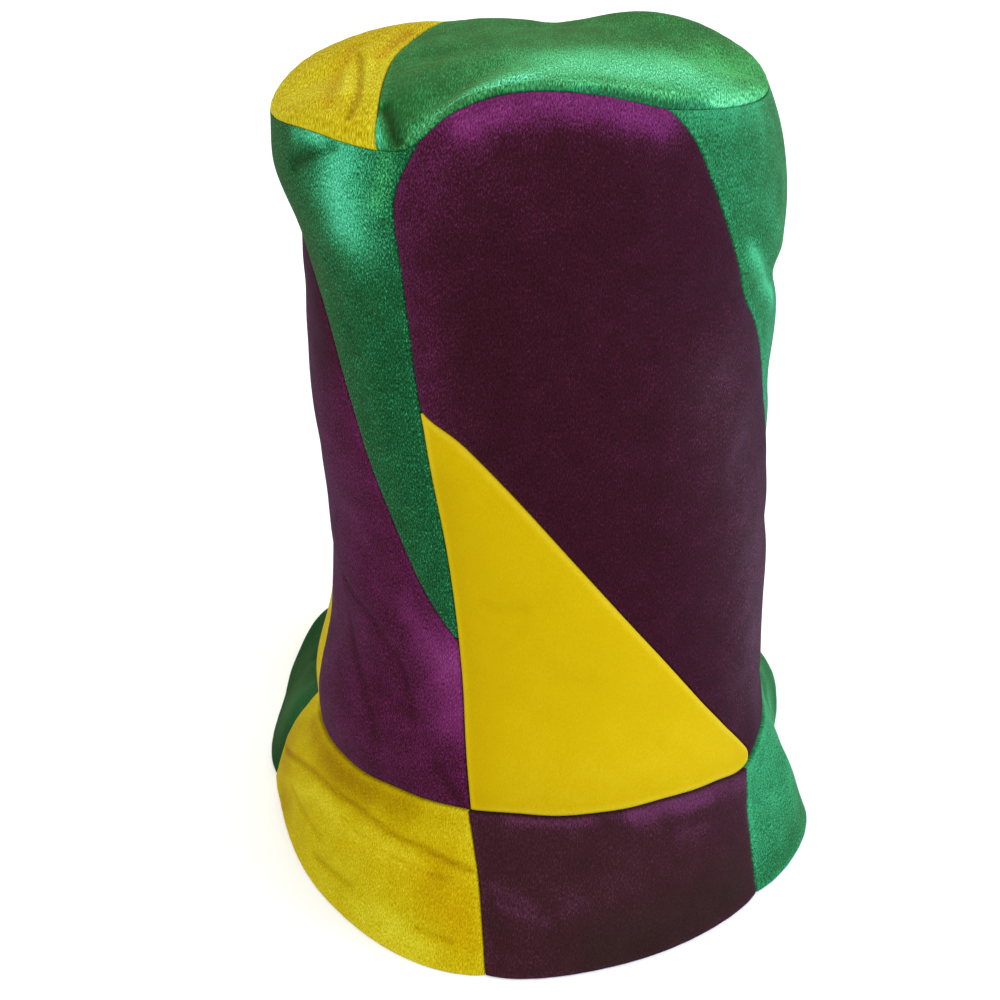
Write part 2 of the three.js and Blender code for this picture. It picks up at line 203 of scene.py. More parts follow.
@dataclass(frozen=True)
class HatForm:
    """The hat's outer form: crown, rim, vaulted top and brim, and how they turn into each other."""

    lean: float = 10.0  # degrees that the crown leans back
    ring_height: float = 38.0  # height of the centre of the seam ring between crown and brim
    top_height: float = 288.0  # height of the vault's middle above the seam ring
    ring_mitre: float = 15.0  # degrees that the wall's inward direction turns at the seam ring
    rim_mitre: float = 45.0  # degrees that it turns at the rim
    mitre_reach: float = 0.08  # share of the way over which it turns
    brim_bow: float = 2.0  # how far the brim bows out between ring and edge
    brim_turn: float = 12.0  # millimetres over which the brim's inward direction turns
    ring_centre: tuple[float, float] = (6.02, -11.137)
    # The crown's radius on its left and on its right, by share of the height.
    left: Table = Table((
        (0.0, 105.0), (0.08, 104.5), (0.2, 97.5), (0.38, 95.7), (0.55, 100.5),
        (0.73, 102.0), (0.82, 104.2), (0.92, 112.5), (1.0, 114.3),
    ))
    right: Table = Table((
        (0.0, 98.5), (0.08, 94.0), (0.2, 93.0), (0.38, 93.4), (0.5, 92.0), (0.57, 91.0), (0.68, 91.3),
        (0.735, 89.4), (0.785, 92.3), (0.85, 92.8), (0.92, 90.3), (1.0, 85.3),
    ))
    # The rim's height above the seam ring, by azimuth.
    rim: Table = Table((
        (-180.0, 286.8), (-145.0, 289.0), (-115.0, 280.7), (-85.0, 268.0), (-55.0, 268.0), (-36.0, 265.0),
        (-29.0, 267.0), (-20.0, 280.0), (-8.0, 287.2), (8.0, 286.2), (30.0, 278.5), (80.0, 276.0),
        (115.0, 285.0), (150.0, 294.0), (180.0, 286.8),
    ))
    # The brim edge's distance from the ring's centre, by azimuth.
    reach: Table = Table((
        (-180.0, 156.0), (-155.0, 159.5), (-132.0, 155.5), (-119.0, 146.0), (-108.0, 136.0), (-92.0, 130.0),
        (-74.0, 124.5), (-45.0, 130.3), (-22.0, 136.5), (-7.0, 135.0), (13.0, 129.0), (43.0, 123.6),
        (60.0, 123.4), (69.0, 122.6), (76.0, 119.2), (81.0, 111.5), (89.0, 103.5), (100.0, 107.5),
        (113.0, 121.0), (123.0, 133.0), (137.0, 145.0), (158.0, 155.0), (180.0, 156.0),
    ))
    # The brim edge's lift off the floor, by azimuth.
    lift: Table = Table((
        (-180.0, 0.0), (-155.0, 6.0), (-132.0, 11.0), (-119.0, 2.5), (-108.0, 0.0), (180.0, 0.0),
    ))
    # How far the seam ring sags, by azimuth.
    ring_sag: Table = Table((
        (-180.0, 0.0), (34.0, 0.0), (46.0, 2.0), (57.0, 6.0), (63.0, 6.5), (69.0, 2.5), (78.0, 0.0),
        (180.0, 0.0),
    ))
    sag_reach: float = 0.1  # share of the height over which the sag dies out
    stitch_wander: float = 0.3  # how far the sewn ring wanders up and down
    stitch_waves: tuple[Wave, ...] = (Wave(5.3, 1.0, 0.0), Wave(2.9, 0.7, 1.0))

    @staticmethod
    def wrap(azimuth: Array) -> Array:
        """Bring azimuths into the half turns either side of the front."""
        return np.mod(np.asarray(azimuth, float) + 180, 360) - 180

    def rim_height(self, azimuth: Array) -> Array:
        """The rim seam's height above the seam ring."""
        return self.rim.at(self.wrap(azimuth))

    def crown_radius(self, azimuth: Array, share: Array) -> Array:
        """The crown's distance from its axis at a share of its height."""
        side = np.sin(np.radians(azimuth))
        return (self.left.at(share) * (1 - side) + self.right.at(share) * (1 + side)) / 2

    def lean_back(self, points: Array) -> Array:
        """Turn points from the crown's upright frame into the leaning crown's place on the hat.

        Args:
            points: points above the seam ring's centre, with the crown upright.

        Returns:
            The points on the hat.
        """
        angle = math.radians(-self.lean)
        x, y, z = np.moveaxis(points, -1, 0)
        back = y * math.cos(angle) - z * math.sin(angle)
        up = y * math.sin(angle) + z * math.cos(angle)
        centre_x, centre_y = self.ring_centre
        return np.stack([x + centre_x, back + centre_y, up + self.ring_height], axis=-1)

    def crown_point(self, azimuth: Array, share: Array, depth: Array) -> Array:
        """Find points on the crown's wall.

        Args:
            azimuth: where the points lie round the crown.
            share: their height, as a share of the way from the seam ring to the rim.
            depth: how far they lie below the outer form.

        Returns:
            The points on the hat.
        """
        to_ring = np.maximum(0, 1 - share / self.mitre_reach)
        to_rim = np.maximum(0, 1 - (1 - share) / self.mitre_reach)
        slope = np.radians(self.ring_mitre * to_ring + self.rim_mitre * to_rim)
        distance = self.crown_radius(azimuth, share) - depth * np.cos(slope)
        wander = self.stitch_wander * sum(wave.at(azimuth) for wave in self.stitch_waves)
        sag = (self.ring_sag.at(self.wrap(azimuth)) + wander) * np.exp(-share / self.sag_reach)
        height = share * self.rim_height(azimuth) - sag - depth * np.sin(slope)
        return self.lean_back(polar(azimuth, distance, height))

    def top_point(self, x: Array, y: Array, depth: Array) -> Array:
        """Find points on the vaulted top.

        Args:
            x: how far to the right of the crown's axis they lie.
            y: how far behind it they lie.
            depth: how far they lie below the outer form.

        Returns:
            The points on the hat.
        """
        azimuth = np.degrees(np.arctan2(x, -y))
        distance = np.hypot(x, y)
        share = np.minimum(1, distance / self.crown_radius(azimuth, np.ones_like(azimuth)))
        height = mix(self.top_height, self.rim_height(azimuth), share**2)
        to_rim = np.maximum(0, 1 - (1 - share) / self.mitre_reach)
        slope = np.radians(90 - (90 - self.rim_mitre) * to_rim)
        points = polar(azimuth, distance - depth * np.cos(slope), height - depth * np.sin(slope))
        return self.lean_back(points)

    def brim_point(self, azimuth: Array, down: Array, depth: Array) -> Array:
        """Find points on the brim.

        Args:
            azimuth: where the points lie round the hat.
            down: how far down they lie, as a share of the way from the seam ring to the edge.
            depth: how far they lie below the outer form.

        Returns:
            The points on the hat.
        """
        none = np.zeros_like(azimuth)
        ring = self.crown_point(azimuth, none, none)
        mitre = unit(self.crown_point(azimuth, none, none + 1) - ring)
        place = self.wrap(azimuth)
        centre_x, centre_y = self.ring_centre
        edge = polar(azimuth, self.reach.at(place), np.maximum(0, self.lift.at(place)))
        edge = edge + np.array([centre_x, centre_y, 0.0])
        outward = polar(azimuth, np.ones_like(azimuth), none)
        slant = np.linalg.norm(edge - ring, axis=-1)
        fall = unit(edge - ring)
        normal = unit(outward - (outward * fall).sum(-1, keepdims=True) * fall)
        to_ring = np.maximum(0, 1 - down * slant / self.brim_turn)[..., None]
        to_edge = np.maximum(0, 1 - (1 - down) * slant / self.brim_turn)[..., None]
        inward = unit(mix(mix(-normal, mitre, to_ring), -outward, to_edge))
        bow = self.brim_bow * np.sin(np.pi * down) ** 2
        points = mix(ring, edge, down[..., None]) + normal * bow[..., None] + inward * depth[..., None]
        return np.maximum(points, np.array([-np.inf, -np.inf, 0.0]))


@dataclass(frozen=True)
class Roll:
    """How a patch turns down into the seam, rim or hem beside it."""

    roll_depth: float  # the tight turn at the stitches
    roll_reach: float
    puff_depth: float  # the wide fall of the padding towards them
    puff_reach: float
    bulge: float = 0.0  # how far the padding stands up beside the side
    bulge_reach: float = 10.0
    pucker: float = 0.12  # how deep the stitches gather the cloth
    pucker_start: float = 1.5  # how far from the side the gathers are whole
    pucker_reach: float = 5.5  # how far from it they die out

    def share(self, distance: Array) -> tuple[Array, Array]:
        """How far the roll and the puff have turned down, from 0 to 1, at a distance from the side."""
        inside = np.clip(1 - distance / self.roll_reach, 0, 1)
        return 1 - np.sqrt(1 - inside**2), np.exp(-distance / self.puff_reach)


class Side(Enum):
    """What a side of a patch is sewn or turned into."""

    SEAM = Roll(roll_depth=0.3, roll_reach=1.0, puff_depth=1.7, puff_reach=6.0)
    RIM = Roll(roll_depth=0.3, roll_reach=1.0, puff_depth=1.6, puff_reach=8.0)
    VAULT = Roll(roll_depth=0.3, roll_reach=1.0, puff_depth=1.4, puff_reach=4.0, bulge=1.2)
    HEM = Roll(roll_depth=1.2, roll_reach=2.4, puff_depth=0.0, puff_reach=3.0, pucker=0.1)


@dataclass(frozen=True)
class Stroke:
    """A soft line on a patch: a crease if it has depth, and painted light and shade, partly the pile's lay,
    if it has shade.
    """

    path: Rows  # in the two measures that the patch's part names
    reach: float  # how wide it is, in millimetres
    depth: float = 0.0  # how far it dips, or stands up where negative
    shade: float = 0.0  # how much lighter the pile is there: painted shade in creases, painted highlights and sheen, partly the pile's lay
    tint: float = 0.0  # how far its hue turns there, partly a painted haze of sheen
    glint: float = 0.0  # how much more its tufts glint there


@dataclass(frozen=True)
class PileAndPaintedLight:
    """How a patch's pile lies, with the light and shade that are painted into its colour."""

    lay: float  # how light it is all over: painted light and shade for the whole patch, partly its lay
    crush: float  # how much it is crushed
    glint: float  # how much its tufts glint
    strokes: tuple[Stroke, ...] = ()  # its creases with their painted shade, and places of painted light and shade, some of them brushed pile
    painted_seam_highlight: float = 0.15  # a painted highlight along its seams: how much lighter it is there
    painted_seam_highlight_reach: float = 1.3  # how far from them that is strongest
    tint: float = 0.0  # how far its hue is turned all over, partly a painted haze of sheen


def hex_colour(value: str) -> tuple[float, float, float, float]:
    """Turn an sRGB hex value into a linear colour.

    Args:
        value: six hex digits.

    Returns:
        Linear red, green, blue and an alpha of one.
    """
    # The numbers are the ones that define sRGB.
    parts = (int(value[place : place + 2], 16) / 255 for place in (0, 2, 4))
    linear = [part / 12.92 if part <= 0.04045 else ((part + 0.055) / 1.055) ** 2.4 for part in parts]
    return (*linear, 1.0)


def add_node(
    tree: bpy.types.NodeTree, kind: str, settings: dict[str, object], inputs: dict[str | int, object]
) -> bpy.types.Node:
    """Add a node to a material.

    Args:
        tree: the material's nodes.
        kind: the node's type.
        settings: the node's own options by name.
        inputs: what each input holds, either a value or the output that is linked to it.

    Returns:
        The new node.
    """
    node = tree.nodes.new(kind)
    for name, value in settings.items():
        setattr(node, name, value)
    for name, value in inputs.items():
        if isinstance(value, bpy.types.NodeSocket):
            tree.links.new(value, node.inputs[name])
        else:
            node.inputs[name].default_value = value
    return node


@dataclass(frozen=True)
class Grain:
    """One scale of the pile's pattern: the size of its marks in metres and how far they swing the tone."""

    width: float
    length: float
    shade: float
    detail: float
    mark: str  # the attribute that says how strongly a place shows it
    roughness: float = 0.6


@dataclass(frozen=True)
class PanneVelvet:
    """Panne velvet: a knitted pile that was pressed flat.

    To the eye it is mottled where the pile was crushed, streaked along the nap and full of small
    glints. It is light where light is painted and deep where shade is painted, partly by the pile's
    lay, and has a soft sheen where it turns from sight.
    """

    name: str
    deep: str  # the colour at a tone of -1
    body: str  # at 0
    light: str  # at 1
    tip: str  # at 2
    sheen: str
    sheen_weight: float
    painted_seam_shade: float  # the painted shade at the stitched edge: how much darker it is
    tint: tuple[float, float, float]  # how far red, green and blue turn where the pile's tint is one, partly as a painted haze of sheen
    body_stop: float = 0.5  # the body's place on the colour ramp
    tone_step: float = 0.25  # one tone's length on the ramp
    curl: float = 0.008  # metres over which the pile turns from one lay to the next
    curl_reach: float = 0.0025  # metres by which that moves the pattern
    curl_detail: float = 1.0
    tuft_height: float = 0.0004  # metres
    tuft_strength: float = 0.3
    roughness: float = 0.9
    refraction: float = 1.45
    specular: float = 0.05
    sheen_roughness: float = 0.4
    grains: tuple[Grain, ...] = (
        Grain(0.012, 0.012, 1.5, 4.0, "crush"),  # places where the pile was crushed
        Grain(0.0011, 0.007, 1.0, 2.0, "crush"),  # locks of pile, coarser than a fibre so that they show
        Grain(0.00045, 0.0012, 3.2, 2.0, "glint"),  # glinting tufts, coarser than a fibre so that they show
    )

    def pile_tone(
        self, tree: bpy.types.NodeTree, marks: dict[str, bpy.types.NodeSocket]
    ) -> bpy.types.NodeSocket:
        """Work out how light the pile is: its lay with its painted light and shade, crushed places, locks
        and glinting tufts.

        Args:
            tree: the material's nodes.
            marks: the mesh's attributes by name.

        Returns:
            The tone, from -1 for the deep colour to 2 for the tip's.
        """
        flat = add_node(tree, "ShaderNodeUVMap", {"uv_map": CLOTH_MAP}, {}).outputs["UV"]
        turns = add_node(tree, "ShaderNodeTexNoise", {"noise_dimensions": "2D"}, {
            "Vector": flat, "Scale": 1 / self.curl, "Detail": self.curl_detail,
        })
        curled = add_node(tree, "ShaderNodeVectorMath", {"operation": "MULTIPLY_ADD"}, {
            0: turns.outputs["Color"], 1: (self.curl_reach, self.curl_reach, 0.0), 2: flat,
        })
        # The nap mark carries painted light and shade along with the pile's lay.
        tone = marks["nap"]
        for grain in self.grains:
            scaled = add_node(tree, "ShaderNodeMapping", {}, {
                "Vector": curled.outputs[0], "Scale": (1 / grain.width, 1 / grain.length, 1.0),
            })
            pattern = add_node(tree, "ShaderNodeTexNoise", {"noise_dimensions": "2D"}, {
                "Vector": scaled.outputs[0], "Scale": 1.0,
                "Detail": grain.detail, "Roughness": grain.roughness,
            })
            swing = add_node(tree, "ShaderNodeMath", {"operation": "MULTIPLY_ADD"}, {
                0: pattern.outputs["Fac"], 1: grain.shade, 2: -grain.shade / 2,
            })
            tone = add_node(tree, "ShaderNodeMath", {"operation": "MULTIPLY_ADD"}, {
                0: swing.outputs[0], 1: marks[grain.mark], 2: tone,
            }).outputs[0]
        return tone

    def pile_colour(
        self, tree: bpy.types.NodeTree, marks: dict[str, bpy.types.NodeSocket], tone: bpy.types.NodeSocket
    ) -> bpy.types.NodeSocket:
        """Colour the pile by its tone, turn its hue, partly as a painted haze of sheen, and paint shade at
        its stitched edges.

        Args:
            tree: the material's nodes.
            marks: the mesh's attributes by name.
            tone: how light the pile is.

        Returns:
            The colour.
        """
        place = add_node(tree, "ShaderNodeMath", {"operation": "MULTIPLY_ADD"}, {
            0: tone, 1: self.tone_step, 2: self.body_stop,
        })
        ramp = add_node(tree, "ShaderNodeValToRGB", {}, {"Fac": place.outputs[0]})
        stops = ramp.color_ramp.elements
        stops[0].position = self.body_stop - self.tone_step
        stops[0].color = hex_colour(self.deep)
        stops[1].color = hex_colour(self.tip)
        stops.new(self.body_stop).color = hex_colour(self.body)
        stops.new(self.body_stop + self.tone_step).color = hex_colour(self.light)
        # The turn of hue is partly a painted haze of sheen.
        turned = add_node(tree, "ShaderNodeVectorMath", {"operation": "MULTIPLY_ADD"}, {
            0: marks["tint"], 1: self.tint, 2: (1.0, 1.0, 1.0),
        })
        tinted = add_node(tree, "ShaderNodeVectorMath", {"operation": "MULTIPLY"}, {
            0: ramp.outputs["Color"], 1: turned.outputs[0],
        })
        # Painted shade darkens the stitched edges.
        shade = add_node(tree, "ShaderNodeMath", {"operation": "MULTIPLY_ADD"}, {
            0: marks["seam"], 1: -self.painted_seam_shade, 2: 1.0,
        })
        return add_node(tree, "ShaderNodeVectorMath", {"operation": "SCALE"}, {
            0: tinted.outputs[0], "Scale": shade.outputs[0],
        }).outputs[0]

    def material(self) -> bpy.types.Material:
        """Make the material from the pile's tone and colour.

        Returns:
            The material.
        """
        material = bpy.data.materials.new(self.name)
        material.use_nodes = True
        tree = material.node_tree
        tree.nodes.clear()
        marks = {}
        for name in MARKS:
            marks[name] = add_node(tree, "ShaderNodeAttribute", {"attribute_name": name}, {}).outputs["Fac"]
        tone = self.pile_tone(tree, marks)
        bump = add_node(tree, "ShaderNodeBump", {}, {
            "Strength": self.tuft_strength, "Distance": self.tuft_height, "Height": tone,
        })
        shader = add_node(tree, "ShaderNodeBsdfPrincipled", {}, {
            "Base Color": self.pile_colour(tree, marks, tone), "Normal": bump.outputs["Normal"],
            "Roughness": self.roughness, "IOR": self.refraction, "Specular IOR Level": self.specular,
            "Sheen Weight": self.sheen_weight, "Sheen Roughness": self.sheen_roughness,
            "Sheen Tint": hex_colour(self.sheen),
        })
        add_node(tree, "ShaderNodeOutputMaterial", {}, {"Surface": shader.outputs["BSDF"]})
        return material


@dataclass(frozen=True)
class FoamBacking:
    """Bonded foam with a thin knit on its back: an even, matt, pale grey inside with a fine grain."""

    name: str = "bonded_foam_backing"
    body: str = "b9b4ab"
    shade: str = "9a958d"
    pore: float = 0.0025  # metres, coarser than a real pore so that it shows
    pore_depth: float = 0.0004  # metres
    pore_strength: float = 0.3
    pore_detail: float = 3.0
    pore_roughness: float = 0.6
    roughness: float = 0.95

    def material(self) -> bpy.types.Material:
        """Make the material, flecked by the foam's pores.

        Returns:
            The material.
        """
        material = bpy.data.materials.new(self.name)
        material.use_nodes = True
        tree = material.node_tree
        tree.nodes.clear()
        solid = add_node(tree, "ShaderNodeTexCoord", {}, {}).outputs["Object"]
        grain = add_node(tree, "ShaderNodeTexNoise", {}, {
            "Vector": solid, "Scale": 1 / self.pore,
            "Detail": self.pore_detail, "Roughness": self.pore_roughness,
        }).outputs["Fac"]
        # Inputs 6 and 7 and output 2 are the ones for colours.
        colour = add_node(tree, "ShaderNodeMix", {"data_type": "RGBA"}, {
            0: grain, 6: hex_colour(self.shade), 7: hex_colour(self.body),
        })
        bump = add_node(tree, "ShaderNodeBump", {}, {
            "Strength": self.pore_strength, "Distance": self.pore_depth, "Height": grain,
        })
        shader = add_node(tree, "ShaderNodeBsdfPrincipled", {}, {
            "Base Color": colour.outputs[2], "Roughness": self.roughness, "Normal": bump.outputs["Normal"],
        })
        add_node(tree, "ShaderNodeOutputMaterial", {}, {"Surface": shader.outputs["BSDF"]})
        return material


class Velvet(Enum):
    """The three velvets, by the slot of the record that each one finishes."""

    GOLD = "gold_velvet"
    PURPLE = "purple_velvet"
    GREEN = "green_velvet"


FINISHES = {
    # Gold pile is ochre where shade is painted and pale lemon where light is painted, partly by its lay.
    Velvet.GOLD: PanneVelvet(
        name="gold_panne_velvet", deep="8c6600", body="b39800", light="d4c836", tip="f0e684",
        sheen="e0dc70", sheen_weight=0.05, painted_seam_shade=0.0, tint=(-0.15, 0.05, 0.0),
    ),
    # Purple pile is nearly black where shade is painted and has a plum bloom where sheen is painted, partly
    # by its lay.
    Velvet.PURPLE: PanneVelvet(
        name="purple_panne_velvet", deep="1e090d", body="34121d", light="6e2a5e", tip="a8609a",
        sheen="aaa4d4", sheen_weight=0.06, painted_seam_shade=0.2, tint=(-0.06, 0.62, -0.05),
    ),
    # Green pile is bottle green where shade is painted and shines like mint satin where sheen is painted,
    # partly by its lay.
    Velvet.GREEN: PanneVelvet(
        name="green_panne_velvet", deep="0b3014", body="17562d", light="3eaa70", tip="80e2b2",
        sheen="b8cc74", sheen_weight=0.08, painted_seam_shade=0.08, tint=(0.14, 0.0, -0.25),
    ),
}


@dataclass
class Patch:
    """One padded velvet patch: a sheet that is creased, rolled into its seams, swelled and given a wall."""

    node: str  # the solid that it stands for
    velvet: Velvet
    spot: Spot  # where it lies on its part, by shares across and up it
    point: Point
    flatten: Flat
    sides: tuple[Side, Side, Side, Side]  # start and end of across, start and end of up
    # how its pile lies, with its painted light and shade
    nap: PileAndPaintedLight
    cell: float  # the size of its grid's cells, in millimetres
    inset: float = 0.8  # how far below the form the sheet starts before it swells
    fill: float = 0.7  # how tightly it is padded
    wall: float = 4.0  # the thickness of velvet and foam
    painted_seam_shade_width: float = 0.4  # the width of the painted shade at the stitched edge
    length_places: int = 13  # lines along which its lengths are measured
    side_places: int = 221  # points along each of its sides
    stroke_places: int = 12  # points between two rows of a stroke's path
    # The gathers along its stitches.
    pucker_waves: tuple[Wave, ...] = (Wave(1.75, 1.0, 2.1), Wave(1.13, 0.6, 4.7))
    # The slow unevenness of its foam, which is whole at a distance from the sides.
    ripple_depth: float = 0.45
    ripple_length: float = 34.0
    ripple_start: float = 12.0
    # The cloth simulation that swells it, with the distances from a side to which it is held and from
    # which it is free, the share of slack in its cloth and the most that a point may move.
    held_to: float = 3.0
    free_from: float = 8.0
    slack: float = 0.012
    pressure: float = 4.0
    frames: int = 14
    cloth_quality: int = 4
    cloth_mass: float = 0.3
    cloth_stiffness: float = 2.0
    evening: int = 6  # passes that even out wrinkles of a single cell
    swell_cap: float = 1.6

    def surface(self, across: Array, up: Array, depth: Array) -> Array:
        """Points on the hat by shares across and up the patch and by depth."""
        return self.point(*self.spot(across, up), depth)

    def lengths(self) -> tuple[float, float]:
        """Measure the patch.

        Returns:
            Its greatest length across and its greatest length up.
        """
        share = np.linspace(0, 1, self.length_places)
        across, up = np.meshgrid(share, share)
        points = self.surface(across, up, np.zeros_like(across))
        width = np.linalg.norm(np.diff(points, axis=1), axis=2).sum(1).max()
        height = np.linalg.norm(np.diff(points, axis=0), axis=2).sum(0).max()
        return float(width), float(height)

    def side_paths(self) -> list[Array]:
        """Find the lines along the patch's sides.

        Returns:
            The points of each line, in the order of the sides.
        """
        run = np.linspace(0, 1, self.side_places)
        start = np.zeros_like(run)
        end = np.ones_like(run)
        ends = [(start, run), (end, run), (run, start), (run, end)]
        return [self.surface(across, up, start) for across, up in ends]

    def roll_down(self, points: Array) -> tuple[Array, Array, Array]:
        """Work out how the patch turns down into its sides.

        Args:
            points: the points of the undipped sheet.

        Returns:
            Each point's depth on the velvet side, its depth on the foam side and its distance to a side.
        """
        deepest_roll = max(side.value.roll_depth for side in self.sides)
        deepest_puff = max(side.value.puff_depth for side in self.sides)
        roll_left = np.ones(len(points))
        puff_left = np.ones(len(points))
        extra = np.zeros(len(points))
        nearest = np.full(len(points), np.inf)
        for number, (side, path) in enumerate(zip(self.sides, self.side_paths())):
            turn = side.value
            distance, along = path_distance(points, path)
            roll, puff = turn.share(distance)
            roll_left *= 1 - roll * turn.roll_depth / deepest_roll
            puff_left *= 1 - puff * turn.puff_depth / deepest_puff
            swing = distance / turn.bulge_reach
            extra -= turn.bulge * swing * np.exp(1 - swing)
            gather = sum(wave.at(along, number) for wave in self.pucker_waves)
            fade = np.exp(-distance / turn.pucker_reach) * np.minimum(1, distance / turn.pucker_start)
            extra += turn.pucker * gather * fade
            nearest = np.minimum(nearest, distance)
        smooth = deepest_puff * (1 - puff_left)
        return smooth + deepest_roll * (1 - roll_left) + extra, smooth + deepest_roll, nearest

    def draw_strokes(self, points: Array) -> tuple[Array, dict[str, Array]]:
        """Work out the creases, and the lay of the pile with its painted light and shade.

        Args:
            points: the points of the undipped sheet.

        Returns:
            Each point's depth in the creases, and the values that the velvet's finish reads, by name.
        """
        depth = np.zeros(len(points))
        marks = {
            "nap": np.full(len(points), self.nap.lay),
            "crush": np.full(len(points), self.nap.crush),
            "glint": np.full(len(points), self.nap.glint),
            "tint": np.full(len(points), self.nap.tint),
        }
        for stroke in self.nap.strokes:
            first, second = np.array(stroke.path, float).T
            steps = np.linspace(0, len(first) - 1, self.stroke_places * (len(first) - 1) + 1)
            knots = np.arange(len(first))
            spots = np.interp(steps, knots, first), np.interp(steps, knots, second)
            distance, _ = path_distance(points, self.point(*spots, np.zeros_like(steps)))
            strength = np.exp(-((distance / stroke.reach) ** 2))
            depth += stroke.depth * strength
            # A stroke's shade paints light and shade into the nap mark, and its tint partly a haze of
            # sheen.
            marks["nap"] += stroke.shade * strength
            marks["glint"] += stroke.glint * strength
            marks["tint"] += stroke.tint * strength
        return depth, marks

    def swell(self, mesh: bpy.types.Mesh, held: Array, lines: tuple[int, int]) -> Array:
        """Puff the sheet up by a short cloth simulation with its sides held.

        Args:
            mesh: the sheet on the form.
            held: how firmly each point is held, from 0 to 1.
            lines: how many lines of points the sheet has up and across.

        Returns:
            How far each point moves, in millimetres.
        """
        rest = np.empty(len(mesh.vertices) * 3)
        mesh.vertices.foreach_get("co", rest)
        piece = bpy.data.objects.new(f"{self.node}_swelling", mesh)
        bpy.context.scene.collection.objects.link(piece)
        pins = piece.vertex_groups.new(name="held")
        for number, weight in enumerate(held):
            pins.add([number], float(weight), "REPLACE")
        cloth = piece.modifiers.new("swell", "CLOTH")
        cloth.settings.quality = self.cloth_quality
        cloth.settings.mass = self.cloth_mass
        cloth.settings.bending_stiffness = self.cloth_stiffness
        cloth.settings.use_pressure = True
        cloth.settings.uniform_pressure_force = self.pressure
        cloth.settings.shrink_min = -self.slack
        cloth.settings.vertex_group_mass = pins.name
        cloth.settings.effector_weights.gravity = 0.0
        cloth.collision_settings.use_collision = False
        cloth.point_cache.frame_end = self.frames
        for frame in range(1, self.frames + 1):
            bpy.context.scene.frame_set(frame)
        swelled = piece.evaluated_get(bpy.context.evaluated_depsgraph_get())
        moved = np.empty_like(rest)
        swelled.data.vertices.foreach_get("co", moved)
        bpy.data.objects.remove(piece)
        bpy.context.scene.frame_set(1)
        move = (moved - rest).reshape(*lines, 3) / METRE
        for _ in range(self.evening):
            for axis in (0, 1):
                move = (np.roll(move, 1, axis) + 2 * move + np.roll(move, -1, axis)) / 4
        move = move.reshape(-1, 3)
        length = np.linalg.norm(move, axis=1, keepdims=True)
        return move * self.swell_cap * np.tanh(length / self.swell_cap) / np.maximum(length, TINY)

    def ripple(self, points: Array) -> Array:
        """The slow unevenness of soft foam, as a depth at each point."""
        swings = (noise.noise(Vector(point / self.ripple_length)) for point in points)
        return np.array([self.ripple_depth * swing for swing in swings])

    def build(self, velvet: bpy.types.Material, backing: bpy.types.Material) -> bpy.types.Object:
        """Make the patch and stand it in for its solid.

        Args:
            velvet: the finish of the outside.
            backing: the finish of the inside.

        Returns:
            The finished piece.
        """
        width, height = self.lengths()
        spacing = Spacing()
        columns = spacing.lines(width, self.cell)
        rows = spacing.lines(height, self.cell)
        half = 0.5  # the grid runs from -0.5 to 0.5
        sheet = bmesh.new()
        bmesh.ops.create_grid(sheet, x_segments=columns, y_segments=rows, size=half)
        flat = np.array([vert.co[:2] for vert in sheet.verts]) + half
        across = spacing.spread(flat[:, 0], width)
        up = spacing.spread(flat[:, 1], height)
        form = self.surface(across, up, np.zeros(len(flat)))
        outer_depth, inner_depth, nearest = self.roll_down(form)
        crease, marks = self.draw_strokes(form)
        ripple = self.ripple(form) * np.minimum(1, nearest / self.ripple_start)
        outer = self.surface(across, up, outer_depth + self.inset + crease + ripple)
        # A painted highlight lies along the seams.
        painted_seam_highlight = (nearest - self.nap.painted_seam_highlight_reach) / self.nap.painted_seam_highlight_reach
        marks["nap"] += self.nap.painted_seam_highlight * np.exp(-(painted_seam_highlight**2))
        # Painted shade darkens the stitched edges.
        marks["seam"] = np.exp(-((nearest / self.painted_seam_shade_width) ** 2))
        for vert, point in zip(sheet.verts, outer):
            vert.co = point * METRE
        mesh = bpy.data.meshes.new(f"{self.node}_sheet")
        sheet.to_mesh(mesh)
        held = np.clip((self.free_from - nearest) / (self.free_from - self.held_to), 0, 1)
        outer = outer + self.swell(mesh, held, (rows + 1, columns + 1))
        bpy.data.meshes.remove(mesh)
        inner = self.surface(across, up, inner_depth + self.wall)
        self.thicken(sheet, across, up, outer, inner, marks)
        piece = self.to_piece(sheet, velvet, backing)
        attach(piece, "root")
        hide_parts(self.node)
        return piece

    def thicken(
        self, sheet: bmesh.types.BMesh, across: Array, up: Array, outer: Array, inner: Array,
        marks: dict[str, Array],
    ) -> None:
        """Turn the sheet into a closed wall of velvet and foam.

        Args:
            sheet: the sheet's grid, which becomes the wall.
            across: each point's place across the patch.
            up: each point's place up the patch.
            outer: each point's place on the velvet side.
            inner: each point's place on the foam side.
            marks: the values that the velvet's finish reads, by name.
        """
